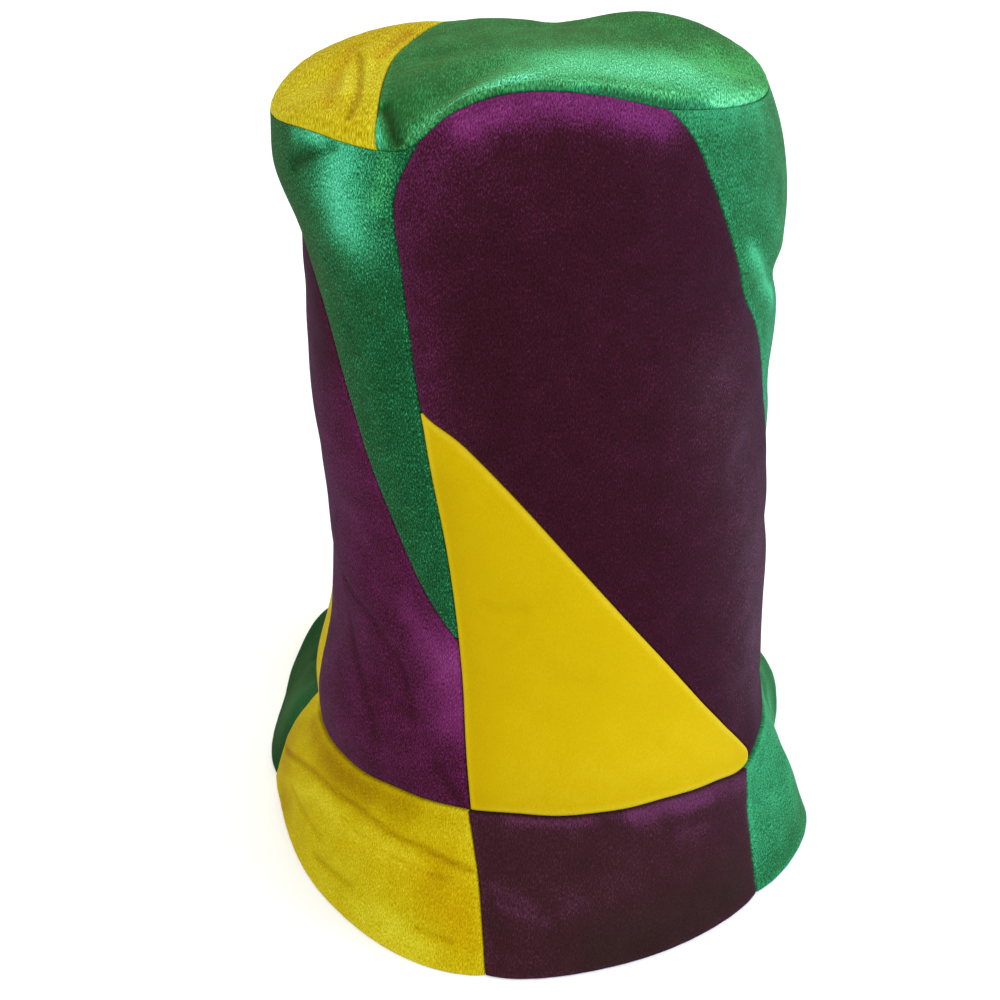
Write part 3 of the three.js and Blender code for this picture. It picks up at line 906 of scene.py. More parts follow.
        # Every new layer makes earlier handles stale, so they are fetched once all are there.
        sheet.verts.layers.int.new("number")
        for name in marks:
            sheet.verts.layers.float.new(name)
        number = sheet.verts.layers.int["number"]
        layers = {name: sheet.verts.layers.float[name] for name in marks}
        cloth = sheet.loops.layers.uv.new(CLOTH_MAP)
        grain = self.flatten(*self.spot(across, up)) * METRE
        for index, vert in enumerate(sheet.verts):
            vert[number] = index
            for name, layer in layers.items():
                vert[layer] = float(marks[name][index])
        for face in sheet.faces:
            face.smooth = True
            for loop in face.loops:
                loop[cloth].uv = grain[loop.vert[number]]
        foam_faces = sheet.faces[:]
        foam_verts = sheet.verts[:]
        bmesh.ops.extrude_face_region(sheet, geom=foam_faces, use_keep_orig=True)
        kept = set(foam_verts)
        for vert in sheet.verts:
            points = inner if vert in kept else outer
            vert.co = points[vert[number]] * METRE
        bmesh.ops.reverse_faces(sheet, faces=foam_faces)
        foam_slot = 1  # the velvet's is 0
        for face in foam_faces:
            face.material_index = foam_slot
        bmesh.ops.recalc_face_normals(sheet, faces=sheet.faces[:])

    def to_piece(
        self, sheet: bmesh.types.BMesh, velvet: bpy.types.Material, backing: bpy.types.Material
    ) -> bpy.types.Object:
        """Make the finished wall an object, smoothed once.

        Args:
            sheet: the closed wall.
            velvet: the finish of the outside.
            backing: the finish of the inside.

        Returns:
            The object, at the origin.
        """
        mesh = bpy.data.meshes.new(f"{self.node}_velvet")
        sheet.to_mesh(mesh)
        sheet.free()
        mesh.materials.append(velvet)
        mesh.materials.append(backing)
        piece = bpy.data.objects.new(f"{self.node}_velvet", mesh)
        bpy.context.scene.collection.objects.link(piece)
        smooth = piece.modifiers.new("smooth", "SUBSURF")
        smooth.levels = 1
        smooth.render_levels = 1
        return piece


@dataclass
class Crown:
    """The leaning tube: a front panel and a back panel, each of three patches with slanting seams."""

    form: HatForm
    gap: float = 0.06  # between two patches
    height: float = 280.0  # of its cloth
    radius: float = 97.0  # on which its cloth is laid flat
    # Each seam's azimuth, by share of the height.
    front_panel: Table = Table((
        (0.0, -18.0), (0.3, -23.5), (0.55, -29.2), (0.75, -33.5), (0.9, -33.5), (0.96, -31.3), (1.0, -27.0),
    ))
    front_gold_purple: Table = Table((
        (0.0, 63.8), (0.012, 64.6), (0.031, 62.0), (0.051, 58.0), (0.079, 52.0), (0.125, 43.8),
        (0.25, 25.0), (0.47, -9.0), (0.62, -30.9), (1.0, -90.0),
    ))
    front_purple_green: Table = Table((
        (0.0, 162.0), (0.2, 122.0), (0.4, 92.0), (0.6, 72.0), (0.7, 60.5), (0.8, 48.0), (0.9, 38.2),
        (0.95, 34.0), (0.98, 30.0), (1.0, 25.5),
    ))
    back_panel: Table = Table(((0.0, 160.0), (1.0, 152.0)))
    back_gold_purple: Table = Table((
        (0.0, 279.0), (0.12, 279.0), (0.25, 271.0), (0.4, 252.0), (1.0, 166.0),
    ))
    back_purple_green: Table = Table((
        (0.0, 372.0), (0.252, 337.6), (0.36, 325.0), (0.48, 315.0), (0.62, 305.0), (0.75, 292.0),
        (0.86, 270.0), (1.0, 246.0),
    ))
    # The share of the height at which a patch runs out to its tip.
    gold_tip: float = 0.617
    right_green_tip: float = 0.02
    left_green_tip: float = 0.258
    # Paths on the crown run by azimuth and by share of the height.
    # The front gold's creases have painted shade, its left edge is painted darker, its lower middle painted
    # lighter, and a painted highlight runs along its seams.
    front_gold_pile_and_light: PileAndPaintedLight = PileAndPaintedLight(-0.04, 0.1, 0.14, (
        Stroke(((-16.0, 0.312), (-12.0, 0.302), (-6.0, 0.305)), reach=2.4, depth=1.0, shade=-0.1),
        Stroke(((-17.0, 0.285), (-8.0, 0.275)), reach=2.4, depth=0.7),
        Stroke(((-17.0, 0.02), (-22.0, 0.3), (-27.0, 0.5)), reach=10.0, shade=-0.14),
        Stroke(((-5.0, 0.05), (20.0, 0.05), (45.0, 0.06)), reach=22.0, shade=0.07),
    ), painted_seam_highlight=0.25)
    # Painted sheen runs down the front purple's left edge and under the rim, and a painted grey-violet haze
    # of sheen lies on its right side.
    front_purple_pile_and_light: PileAndPaintedLight = PileAndPaintedLight(-0.42, 0.4, 0.8, (
        Stroke(((-30.0, 0.62), (-33.0, 0.75), (-33.0, 0.88), (-27.0, 0.96)), reach=18.0, shade=0.45),
        Stroke(((-17.0, 0.975), (0.0, 0.985), (24.0, 0.98)), reach=9.0, shade=1.05),
        Stroke(((-20.0, 0.94), (-8.0, 0.88)), reach=22.0, shade=0.18),
        Stroke(((48.0, 0.62), (60.0, 0.4), (72.0, 0.15)), reach=26.0, shade=0.34, tint=1.2),
        Stroke(((64.0, 0.32), (70.0, 0.14)), reach=24.0, shade=0.16, tint=0.6),
    ), tint=-0.2)
    # The front green's crease has painted shade and its ridges painted highlights; painted light lies under
    # the rim, a painted bluish haze low on its right side, and painted shade in the folds and on the part
    # at the back.
    front_green_pile_and_light: PileAndPaintedLight = PileAndPaintedLight(0.03, 0.35, 0.7, (
        Stroke(((52.0, 0.82), (61.0, 0.782), (72.0, 0.738)), reach=2.6, depth=2.0, shade=0.05),
        Stroke(((54.0, 0.797), (63.0, 0.755), (74.0, 0.71)), reach=4.0, depth=-1.0, shade=0.65),
        Stroke(((62.0, 0.84), (74.0, 0.78)), reach=6.0, depth=-0.8, shade=0.15),
        Stroke(((36.0, 0.985), (50.0, 0.985), (62.0, 0.98)), reach=7.0, shade=0.25),
        Stroke(((80.0, 0.66), (84.0, 0.5), (86.0, 0.3)), reach=20.0, shade=0.25, tint=-0.6),
        Stroke(((102.0, 0.62), (118.0, 0.5), (138.0, 0.44)), reach=3.0, depth=1.3, shade=-0.3),
        Stroke(((102.0, 0.57), (118.0, 0.455), (138.0, 0.4)), reach=5.0, depth=-0.7, shade=0.3),
        Stroke(((110.0, 0.8), (130.0, 0.72), (146.0, 0.7)), reach=18.0, shade=-0.25),
        Stroke(((104.0, 0.97), (122.0, 0.975), (145.0, 0.97)), reach=10.0, shade=0.4),
    ))
    # The back gold's creases have painted shade and its ridge a painted highlight; it is lighter near the
    # ring and darker at its front end.
    back_gold_pile_and_light: PileAndPaintedLight = PileAndPaintedLight(-0.04, 0.35, 0.6, (
        Stroke(((175.0, 0.62), (200.0, 0.5), (228.0, 0.42)), reach=3.0, depth=1.3, shade=-0.3),
        Stroke(((178.0, 0.57), (204.0, 0.45), (232.0, 0.37)), reach=5.0, depth=-0.8, shade=0.25),
        Stroke(((182.0, 0.3), (206.0, 0.22), (226.0, 0.2)), reach=2.4, depth=0.9, shade=-0.25),
        Stroke(((185.0, 0.1), (215.0, 0.08), (250.0, 0.1)), reach=16.0, shade=0.25),
        Stroke(((164.0, 0.85), (170.0, 0.6)), reach=14.0, shade=-0.25),
    ), tint=0.3)
    # The back purple's folds have painted shade and its ridge a painted highlight; painted sheen brightens
    # it beside the front gold and under the rim, and painted shade darkens its upper left side.
    back_purple_pile_and_light: PileAndPaintedLight = PileAndPaintedLight(0.08, 0.35, 0.7, (
        Stroke(((-62.0, 0.29), (-48.5, 0.26), (-38.5, 0.21), (-33.0, 0.12)),
               reach=1.7, depth=0.7, shade=-0.22),
        Stroke(((-60.0, 0.23), (-50.0, 0.15), (-42.0, 0.07)), reach=1.7, depth=0.6, shade=-0.2),
        Stroke(((-26.5, 0.063), (-20.5, 0.01)), reach=2.2, depth=0.9, shade=-0.3),
        Stroke(((-36.0, 0.3), (-30.0, 0.25), (-25.0, 0.22)), reach=8.0, shade=0.3, tint=0.2),
        Stroke(((-25.0, 0.225), (-23.0, 0.18), (-23.0, 0.14)), reach=12.0, shade=0.5, tint=0.2),
        Stroke(((190.0, 0.98), (215.0, 0.985), (245.0, 0.98)), reach=9.0, shade=0.8),
        Stroke(((236.0, 0.78), (252.0, 0.66), (262.0, 0.5)), reach=2.6, depth=1.2, shade=-0.25),
        Stroke(((242.0, 0.8), (258.0, 0.68), (268.0, 0.52)), reach=6.0, depth=-0.7, shade=0.35),
        Stroke(((286.0, 0.78), (294.0, 0.66)), reach=12.0, shade=-0.4),
        Stroke(((300.0, 0.46), (303.0, 0.36)), reach=15.0, shade=0.1),
    ), tint=-0.4)
    # The back green's fold has painted shade; painted highlights lie on the bulge below the rim, on its
    # upper left and on the facet at its right corner.
    back_green_pile_and_light: PileAndPaintedLight = PileAndPaintedLight(-0.45, 0.4, 1.25, (
        Stroke(((-61.0, 0.94), (-53.0, 0.968), (-47.0, 0.988)), reach=2.3, depth=1.9, shade=-0.55),
        Stroke(((-45.0, 0.972), (-46.0, 0.925), (-45.5, 0.875)), reach=15.0, shade=1.4, tint=-0.4),
        Stroke(((-60.0, 0.985), (-52.0, 0.995)), reach=4.5, shade=0.9, tint=-0.3),
        Stroke(((-33.5, 0.99), (-34.5, 0.96), (-36.5, 0.92)), reach=4.0, shade=0.6, tint=0.9),
    ), tint=-0.5)

    def back_end(self, share: Array) -> Array:
        """Where the back panel ends, a turn on from the front panel's start."""
        return self.front_panel.at(share) + 360

    def purple_start(self, share: Array) -> Array:
        """Where the front purple starts, beside the gold and then beside the back panel."""
        return np.maximum(self.front_panel.at(share), self.front_gold_purple.at(share))

    def purple_end(self, share: Array) -> Array:
        """Where the front purple ends, beside the back panel and then beside the green."""
        return np.minimum(self.front_purple_green.at(share), self.back_panel.at(share))

    def back_purple_end(self, share: Array) -> Array:
        """Where the back purple ends, beside the front panel and then beside the green."""
        return np.minimum(self.back_purple_green.at(share), self.back_end(share))

    def flatten(self, azimuth: Array, share: Array) -> Array:
        """Where the crown's cloth lies flat, in millimetres."""
        return np.stack([np.radians(azimuth) * self.radius, share * self.height], axis=-1)

    def patch(
        self, name: str, velvet: Velvet, left: Seam, right: Seam, start: float, end: float, nap: PileAndPaintedLight,
        cell: float,
    ) -> Patch:
        """Lay out one patch between two seams that run up the crown.

        Args:
            name: the patch's name on the crown.
            velvet: its cloth.
            left: the azimuth at which it starts, by share of the height.
            right: the azimuth at which it ends.
            start: the share of the height at which it starts.
            end: the share at which it ends, 1 for the rim.
            nap: how its pile lies, with its painted light and shade.
            cell: the size of its grid's cells.

        Returns:
            The patch, ready to build.
        """
        inset = self.gap / 2 / self.height
        turn = math.degrees(self.gap / 2 / self.radius)

        def spot(across: Array, up: Array) -> tuple[Array, Array]:
            """The azimuths and the shares of the height at shares across and up the patch."""
            share = mix(start + inset, end - inset, up)
            return mix(left(share) + turn, right(share) - turn, across), share

        head = Side.RIM if end == 1.0 else Side.SEAM
        sides = (Side.SEAM, Side.SEAM, Side.SEAM, head)
        return Patch(f"crown_{name}", velvet, spot, self.form.crown_point, self.flatten, sides, nap, cell)

    def patches(self) -> list[Patch]:
        """Lay out the crown's patches.

        Returns:
            The six patches, round the hat.
        """
        return [
            self.patch("front_gold", Velvet.GOLD, self.front_panel.at, self.front_gold_purple.at,
                       start=0.0, end=self.gold_tip, nap=self.front_gold_pile_and_light, cell=3.0),
            self.patch("front_purple", Velvet.PURPLE, self.purple_start, self.purple_end,
                       start=0.0, end=1.0, nap=self.front_purple_pile_and_light, cell=2.9),
            self.patch("front_green", Velvet.GREEN, self.front_purple_green.at, self.back_panel.at,
                       start=self.right_green_tip, end=1.0, nap=self.front_green_pile_and_light, cell=3.5),
            self.patch("back_gold", Velvet.GOLD, self.back_panel.at, self.back_gold_purple.at,
                       start=0.0, end=1.0, nap=self.back_gold_pile_and_light, cell=4.6),
            self.patch("back_purple", Velvet.PURPLE, self.back_gold_purple.at, self.back_purple_end,
                       start=0.0, end=1.0, nap=self.back_purple_pile_and_light, cell=3.4),
            self.patch("back_green", Velvet.GREEN, self.back_purple_green.at, self.back_end,
                       start=self.left_green_tip, end=1.0, nap=self.back_green_pile_and_light, cell=3.0),
        ]


@dataclass
class Top:
    """The vaulted top in two patches, with one seam that bows across it."""

    form: HatForm
    front: float = -36.0  # the azimuths at which the seam meets the rim
    back: float = 206.0
    # How far left the seam bows, by share of its run from the front.
    bow: Table = Table((
        (0.0, 0.0), (0.14, 3.4), (0.28, 6.7), (0.42, 9.9), (0.52, 11.4), (0.62, 11.4), (0.75, 9.6),
        (0.87, 6.0), (1.0, 0.0),
    ))
    gap: float = 0.08  # between two patches
    radius: float = 100.0  # at which the gap's angle is taken
    corner: float = 0.02  # share of the seam that each corner is cut back by
    streak: float = 3.0  # how much longer the nap's streaks run from front to back
    # Paths on the top run by the millimetres right of and behind the crown's axis.
    # The top gold's folds have painted shade and the ridges between them painted highlights, with painted
    # shade along the seam and over its back.
    gold_pile_and_light: PileAndPaintedLight = PileAndPaintedLight(-0.02, 0.35, 1.1, (
        Stroke(((-80.0, 24.0), (-76.5, -6.0), (-74.0, -32.0), (-73.5, -52.0), (-75.0, -66.0)),
               reach=1.3, depth=1.6, shade=-0.75),
        Stroke(((-84.0, 10.0), (-79.0, -28.0), (-78.5, -42.0)), reach=2.6, depth=-0.7, shade=0.35),
        Stroke(((-75.0, 12.0), (-73.0, -14.0), (-71.0, -42.0)), reach=1.8, depth=-0.4, shade=0.3),
        Stroke(((-82.0, 38.0), (-85.0, 26.0), (-86.0, 2.0), (-86.0, -20.0), (-84.0, -52.0)),
               reach=3.2, depth=1.2, shade=-0.35, tint=-0.4),
        Stroke(((-62.0, 62.0), (-68.0, 36.0), (-71.0, 18.0)), reach=3.0, depth=0.6, shade=-0.45, tint=-0.6),
        Stroke(((-92.0, 40.0), (-60.0, 78.0)), reach=14.0, shade=-0.35),
    ), tint=0.5)
    # The top green's corner crevice has painted shade and the facet beside it a painted highlight; broad
    # bands of painted mint sheen cross it, painted shade lies above the purple's seam, a painted highlight
    # on its right lip and a painted haze on its right side.
    green_pile_and_light: PileAndPaintedLight = PileAndPaintedLight(-0.05, 0.4, 0.6, (
        Stroke(((-62.0, -58.0), (-58.0, -74.0), (-55.0, -88.0)), reach=1.8, depth=2.4, shade=-0.8),
        Stroke(((-65.5, -68.0), (-62.0, -86.0)), reach=2.4, depth=-0.6, shade=0.7, tint=-1.5, glint=0.6),
        Stroke(((-46.0, -86.0), (-30.0, -84.0), (-14.0, -84.0)),
               reach=10.0, shade=0.5, tint=-0.7, glint=0.8),
        Stroke(((-8.0, -76.0), (12.0, -64.0), (34.0, -54.0), (50.0, -52.0)),
               reach=21.0, shade=0.75, tint=-0.7, glint=0.5),
        Stroke(((6.0, -36.0), (24.0, -25.0), (42.0, -22.0)), reach=26.0, shade=0.8, tint=-0.6, glint=0.4),
        Stroke(((-22.0, -102.0), (-4.0, -102.0), (15.0, -98.0)), reach=3.0, shade=-0.35, tint=-1.0),
        Stroke(((10.0, -97.0), (30.0, -88.0), (43.0, -81.0), (54.0, -73.0)),
               reach=3.8, depth=0.8, shade=-0.3, tint=-1.4),
        Stroke(((4.0, -92.0), (26.0, -81.0), (44.0, -72.0)), reach=4.5, shade=0.4, glint=0.5),
        Stroke(((58.0, -66.0), (70.0, -50.0), (80.0, -28.0)), reach=6.0, shade=0.6, glint=0.4),
        Stroke(((70.0, -8.0), (76.0, 10.0)), reach=22.0, shade=0.35, tint=0.5),
    ), tint=0.9)

    def rim_point(self, azimuth: Array) -> Array:
        """Points on the rim, as seen from above."""
        radius = self.form.crown_radius(azimuth, np.ones_like(azimuth)) - self.gap / 2
        return polar(azimuth, radius, np.zeros_like(azimuth))

    def plan(self, along: Array, out: Array, arc: tuple[float, float], side: float) -> tuple[Array, Array]:
        """Lay a patch out as seen from above.

        Args:
            along: how far along the seam and the rim a point lies.
            out: how far from the seam to the rim it lies.
            arc: the azimuths at which the patch's arc of the rim starts and ends.
            side: the seam's side on which the patch lies, -1 for the left.

        Returns:
            How far to the right of the crown's axis each point lies, and how far behind it.
        """
        turn = math.copysign(math.degrees(self.gap / 2 / self.radius), arc[1] - arc[0])
        azimuth = mix(arc[0] + turn, arc[1] - turn, along)
        run = mix(self.corner, 1 - self.corner, along)
        first = self.rim_point(np.full_like(along, arc[0]))
        last = self.rim_point(np.full_like(along, arc[1]))
        seam = mix(first, last, run[..., None])
        bow = side * self.gap / 2 - self.bow.at(run)
        seam = seam + bow[..., None] * np.array([1.0, 0.0, 0.0])
        points = mix(seam, self.rim_point(azimuth), out[..., None])
        return points[..., 0], points[..., 1]

    def flatten(self, x: Array, y: Array) -> Array:
        """Where the top's cloth lies flat, shortened so that its streaks run long."""
        return np.stack([x, y / self.streak], axis=-1)

    def patch(
        self, name: str, velvet: Velvet, arc: tuple[float, float], side: float, nap: PileAndPaintedLight, cell: float
    ) -> Patch:
        """Lay out one patch between the seam and an arc of the rim.

        Args:
            name: the patch's name.
            velvet: its cloth.
            arc: the azimuths at which its arc of the rim starts and ends.
            side: the seam's side on which it lies, -1 for the left.
            nap: how its pile lies, with its painted light and shade.
            cell: the size of its grid's cells.

        Returns:
            The patch, ready to build.
        """

        def spot(across: Array, up: Array) -> tuple[Array, Array]:
            """Where shares across and up the patch lie as seen from above, with the velvet facing up."""
            return self.plan(across if side > 0 else 1 - across, 1 - up, arc, side)

        sides = (Side.SEAM, Side.SEAM, Side.VAULT, Side.SEAM)
        return Patch(f"top_{name}", velvet, spot, self.form.top_point, self.flatten, sides, nap, cell)

    def patches(self) -> list[Patch]:
        """Lay out the top's patches.

        Returns:
            The two patches, left and right of the seam.
        """
        left_arc = (self.front, self.back - 360)
        right_arc = (self.front, self.back)
        return [
            self.patch("gold", Velvet.GOLD, left_arc, side=-1.0, nap=self.gold_pile_and_light, cell=1.9),
            self.patch("green", Velvet.GREEN, right_arc, side=1.0, nap=self.green_pile_and_light, cell=3.0),
        ]


@dataclass
class Brim:
    """The skirt brim in five patches, from the seam ring down to the edge that it rests on."""

    form: HatForm
    gap: float = 0.06  # between two patches
    radius: float = 115.0  # on which its cloth is laid flat
    slant: float = 60.0  # the cloth's length from ring to edge
    inset: float = -0.6  # millimetres below the form, so its sheet starts a little above it
    # Each seam's azimuth, by share of the way down.
    gold_purple: Table = Table(((0.0, -18.3), (0.2, -15.6), (0.42, -13.3), (0.7, -11.6), (1.0, -10.3)))
    purple_green: Table = Table(((0.0, 61.0), (0.3, 52.6), (0.6, 49.0), (0.8, 48.0), (1.0, 47.0)))
    green_back: Table = Table(((0.0, 150.0), (1.0, 152.0)))
    back_green: Table = Table(((0.0, 205.0), (1.0, 204.0)))
    green_gold: Table = Table(((0.0, 265.0), (1.0, 275.5)))
    # Paths on the brim run by azimuth and by share of the way down.
    # The brim gold's creases have painted shade and its ridge a painted highlight; painted shade deepens it
    # by the ring, on its left and by its right seam, and painted light brightens its lower part.
    gold_pile_and_light: PileAndPaintedLight = PileAndPaintedLight(-0.06, 0.35, 0.65, (
        Stroke(((-86.0, 0.66), (-73.0, 0.4), (-66.0, 0.3), (-59.0, 0.25), (-46.0, 0.225), (-35.0, 0.26),
                (-25.0, 0.285), (-15.0, 0.35)), reach=1.1, depth=1.3, shade=-0.65),
        Stroke(((-80.0, 0.8), (-58.0, 0.36), (-40.0, 0.38), (-25.0, 0.4)),
               reach=4.0, depth=-0.6, shade=0.3),
        Stroke(((-48.0, 0.36), (-34.0, 0.39), (-20.0, 0.43)), reach=1.1, depth=0.6, shade=-0.3),
        Stroke(((-53.0, 0.8), (-45.5, 0.77), (-39.5, 0.76)), reach=1.4, depth=1.2, shade=-0.4),
        Stroke(((-70.0, 0.62), (-60.0, 0.6), (-52.0, 0.62)), reach=1.6, depth=0.6, shade=-0.3),
        Stroke(((-24.0, 0.78), (-17.0, 0.8)), reach=1.4, depth=0.9, shade=-0.4),
        Stroke(((-78.0, 0.06), (-55.0, 0.06), (-32.0, 0.07)), reach=7.0, shade=-0.55),
        Stroke(((-62.0, 0.12), (-45.0, 0.14)), reach=6.0, shade=-0.35),
        Stroke(((-84.0, 0.5), (-74.0, 0.8)), reach=14.0, shade=-0.45),
        Stroke(((-22.0, 0.45), (-15.0, 0.7)), reach=11.0, shade=-0.3, tint=-0.4),
        Stroke(((-34.0, 0.86), (-22.0, 0.9)), reach=9.0, shade=0.25),
        Stroke(((-52.0, 0.78), (-24.0, 0.82)), reach=15.0, shade=0.12, tint=0.2),
    ), tint=0.4)
    # Painted sheen glows on the brim purple along the ring, on a few streaks and on its middle, and painted
    # shade with a grey haze lies low on its right.
    purple_pile_and_light: PileAndPaintedLight = PileAndPaintedLight(-0.13, 0.3, 0.5, (
        Stroke(((20.0, 0.05), (30.0, 0.06), (42.0, 0.07)), reach=4.0, shade=0.5),
        Stroke(((-8.0, 0.035), (10.0, 0.04)), reach=2.2, shade=0.3),
        Stroke(((46.0, 0.08), (57.0, 0.1)), reach=4.0, shade=0.35),
        Stroke(((-11.0, 0.42), (-2.0, 0.53)), reach=2.2, depth=-0.3, shade=0.32),
        Stroke(((-9.0, 0.54), (0.0, 0.63)), reach=2.4, depth=-0.3, shade=0.25),
        Stroke(((30.0, 0.26), (38.0, 0.25)), reach=3.0, depth=0.5, shade=0.2),
        Stroke(((5.0, 0.52), (16.0, 0.5)), reach=8.0, shade=0.12),
        Stroke(((12.0, 0.88), (40.0, 0.8)), reach=17.0, shade=-0.28, tint=0.9),
    ), tint=0.8)
    # The right brim green's lay is painted lighter, with painted shade along its edge, in its crease and
    # towards the back.
    right_pile_and_light: PileAndPaintedLight = PileAndPaintedLight(0.3, 0.3, 0.7, (
        Stroke(((50.0, 0.9), (65.0, 0.88), (80.0, 0.9)), reach=12.0, shade=-0.3),
        Stroke(((96.0, 0.35), (112.0, 0.45), (128.0, 0.4)), reach=2.0, depth=0.9, shade=-0.35),
        Stroke(((112.0, 0.85), (138.0, 0.8)), reach=12.0, shade=-0.4),
    ))
    # The back brim purple's crease has painted shade, with painted light along the ring and a darker edge.
    back_pile_and_light: PileAndPaintedLight = PileAndPaintedLight(0.0, 0.3, 0.5, (
        Stroke(((158.0, 0.3), (180.0, 0.42), (198.0, 0.36)), reach=2.0, depth=0.9, shade=-0.3),
        Stroke(((160.0, 0.09), (195.0, 0.09)), reach=5.0, shade=0.5),
        Stroke(((165.0, 0.8), (190.0, 0.84)), reach=12.0, shade=-0.2),
    ))
    # The left brim green's lay is painted dark as shade, with a painted highlight near the front and
    # painted shade in its crease.
    left_pile_and_light: PileAndPaintedLight = PileAndPaintedLight(-0.9, 0.3, 0.7, (
        Stroke(((-94.0, 0.3), (-100.0, 0.5)), reach=12.0, shade=0.45),
        Stroke(((-150.0, 0.4), (-132.0, 0.55), (-116.0, 0.5)), reach=2.2, depth=0.9, shade=-0.3),
    ))

    def flatten(self, azimuth: Array, down: Array) -> Array:
        """Where the brim's cloth lies flat, in millimetres."""
        return np.stack([np.radians(azimuth) * self.radius, -down * self.slant], axis=-1)

    def patch(
        self, name: str, velvet: Velvet, left: Table, right: Table, nap: PileAndPaintedLight, cell: float, turn: float = 0.0
    ) -> Patch:
        """Lay out one patch between two seams.

        Args:
            name: the patch's name on the brim.
            velvet: its cloth.
            left: its first seam.
            right: its last seam.
            nap: how its pile lies, with its painted light and shade.
            cell: the size of its grid's cells.
            turn: what is added to the last seam's azimuths.

        Returns:
            The patch, ready to build.
        """
        half_gap = math.degrees(self.gap / 2 / self.radius)
        inset = self.gap / 2 / self.slant

        def spot(across: Array, up: Array) -> tuple[Array, Array]:
            """Find where points of the patch lie on the brim.

            Args:
                across: shares of the way from its first seam to its last.
                up: shares of the way from the edge to the ring.

            Returns:
                The points' azimuths, and how far down they lie as a share.
            """
            down = 1 - up * (1 - inset)
            start = left.at(down) + half_gap
            end = right.at(down) + turn - half_gap
            return mix(start, end, across), down

        sides = (Side.SEAM, Side.SEAM, Side.HEM, Side.SEAM)
        point = self.form.brim_point
        return Patch(f"brim_{name}", velvet, spot, point, self.flatten, sides, nap, cell, inset=self.inset)

    def patches(self) -> list[Patch]:
        """Lay out the brim's patches.

        Returns:
            The five patches, round the hat.
        """
        return [
            self.patch("gold", Velvet.GOLD, self.green_gold, self.gold_purple,
                       nap=self.gold_pile_and_light, cell=1.7, turn=360.0),
            self.patch("purple", Velvet.PURPLE, self.gold_purple, self.purple_green,
                       nap=self.purple_pile_and_light, cell=2.4),
            self.patch("green_right", Velvet.GREEN, self.purple_green, self.green_back,
                       nap=self.right_pile_and_light, cell=2.8),
            self.patch("purple_back", Velvet.PURPLE, self.green_back, self.back_green,
                       nap=self.back_pile_and_light, cell=3.4),
            self.patch("green_left", Velvet.GREEN, self.back_green, self.green_gold,
                       nap=self.left_pile_and_light, cell=3.0),
        ]


@dataclass(frozen=True)
class SoftLight:
    """One soft square light: its place and side in metres, its power in watts and its tint."""

    name: str
    place: tuple[float, float, float]
    side: float
    power: float
    colour: str

    def hang(self, aim: Vector) -> None:
        """Hang the light.

        Args:
            aim: the point that it faces, in metres.
        """
        data = bpy.data.lights.new(self.name, "AREA")
        data.size = self.side
        data.energy = self.power
        data.color = hex_colour(self.colour)[:3]
        light = bpy.data.objects.new(self.name, data)
        light.location = self.place
        light.rotation_euler = (aim - Vector(self.place)).to_track_quat("-Z", "Y").to_euler()
        bpy.context.scene.collection.objects.link(light)


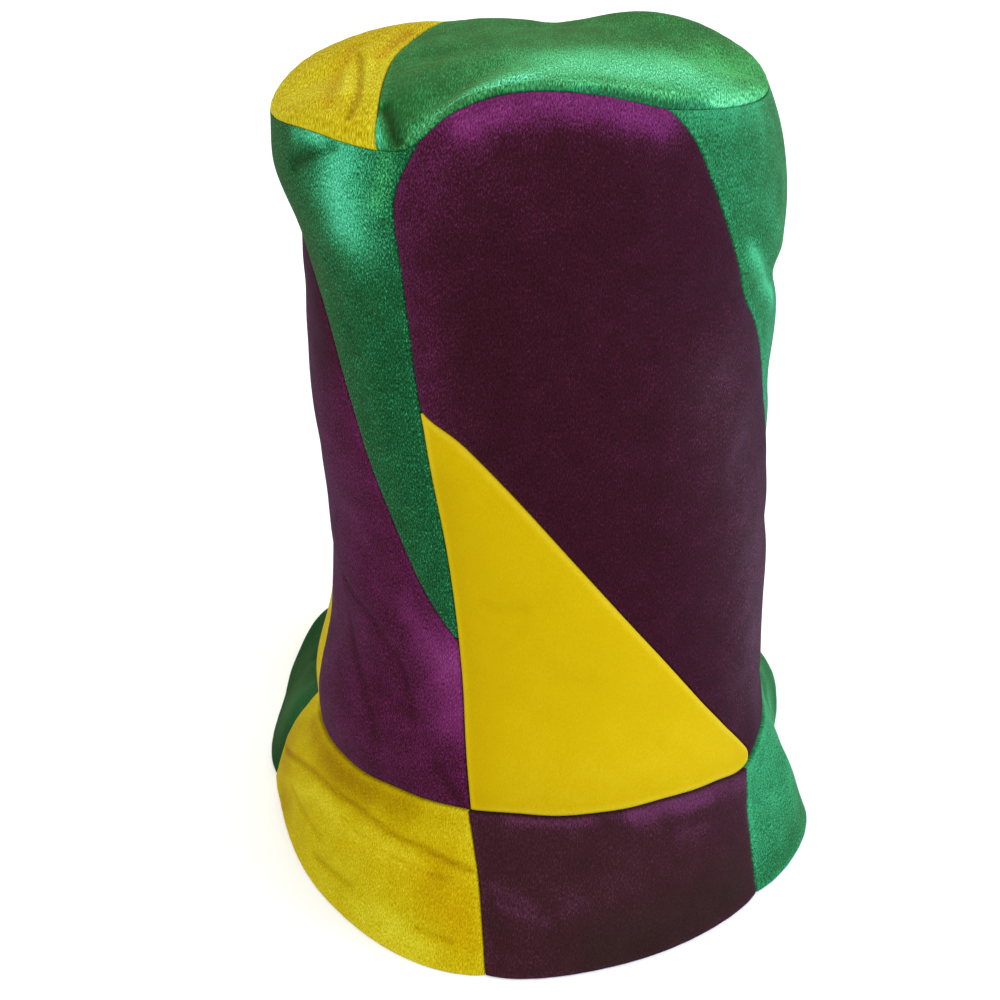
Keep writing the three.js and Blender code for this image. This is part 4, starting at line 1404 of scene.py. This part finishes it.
@dataclass(frozen=True)
class Studio:
    """A white floor, soft light and a camera that looks down at the hat as the photograph does."""

    form: HatForm
    camera_distance: float = 700.0  # from the seam ring's centre, along the leaning crown's axes
    camera_height: float = 375.69
    camera_yaw: float = 1.79  # degrees
    camera_pitch: float = 21.75
    lens: float = 62.56
    sight: float = 50.0  # metres that the camera sees
    floor_half: float = 6.0  # metres
    floor_colour: str = "f4f4f4"
    world_strength: float = 1.0
    aim_height: float = 0.17  # metres above the floor at which the lights point
    lights: tuple[SoftLight, ...] = (
        SoftLight("key", (0.1, -1.3, 1.4), side=1.0, power=12.0, colour="ffffff"),
        SoftLight("right", (1.4, -0.1, 0.6), side=1.0, power=20.0, colour="bac4ff"),
        SoftLight("back", (0.2, 1.3, 1.2), side=1.2, power=10.0, colour="f8ffd8"),
    )

    def camera(self) -> None:
        """Make the camera, placed from the seam ring's centre along the leaning crown's axes."""
        centre_x, centre_y = self.form.ring_centre
        ring = Vector((centre_x, centre_y, self.form.ring_height)) * METRE
        offset = Vector((0.0, -self.camera_distance, self.camera_height)) * METRE
        data = bpy.data.cameras.new("view")
        data.lens = self.lens
        data.clip_end = self.sight
        camera = bpy.data.objects.new("view", data)
        lean = Matrix.Rotation(math.radians(-self.form.lean), 4, "X")
        turn = Matrix.Rotation(math.radians(self.camera_yaw), 4, "Z")
        tilt = Matrix.Rotation(math.radians(90 - self.camera_pitch), 4, "X")
        camera.matrix_world = Matrix.Translation(ring) @ lean @ Matrix.Translation(offset) @ turn @ tilt
        bpy.context.scene.collection.objects.link(camera)
        bpy.context.scene.camera = camera

    def floor(self) -> None:
        """Make the pale floor, a matt paper that gives the eye nothing but the hat's soft shadow."""
        grid = bmesh.new()
        bmesh.ops.create_grid(grid, x_segments=1, y_segments=1, size=self.floor_half)
        mesh = bpy.data.meshes.new("floor")
        grid.to_mesh(mesh)
        grid.free()
        material = bpy.data.materials.new("white_paper")
        material.use_nodes = True
        shader = material.node_tree.nodes["Principled BSDF"]
        shader.inputs["Base Color"].default_value = hex_colour(self.floor_colour)
        shader.inputs["Roughness"].default_value = 1.0
        shader.inputs["Specular IOR Level"].default_value = 0.0
        mesh.materials.append(material)
        floor = bpy.data.objects.new("floor", mesh)
        bpy.context.scene.collection.objects.link(floor)

    def build(self) -> None:
        """Make the camera, the floor, the even surrounding light and the soft lights."""
        scene = bpy.context.scene
        scene.view_settings.view_transform = "Standard"
        world = bpy.data.worlds.new("soft_white")
        world.use_nodes = True
        background = world.node_tree.nodes["Background"]
        background.inputs["Strength"].default_value = self.world_strength
        background.inputs["Color"].default_value = (1.0, 1.0, 1.0, 1.0)
        scene.world = world
        self.camera()
        self.floor()
        for light in self.lights:
            light.hang(Vector((0.0, 0.0, self.aim_height)))


def main() -> None:
    """Load the frame, dress every patch and light the hat."""
    logging.basicConfig(level=logging.INFO, format="%(name)s: %(message)s")
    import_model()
    form = HatForm()
    finishes = {velvet: finish.material() for velvet, finish in FINISHES.items()}
    backing = FoamBacking().material()
    for part in (Crown(form), Top(form), Brim(form)):
        for patch in part.patches():
            piece = patch.build(finishes[patch.velvet], backing)
            LOG.info("%s: %d points", piece.name, len(piece.data.vertices))
    Studio(form).build()


if __name__ == "__main__":
    main()
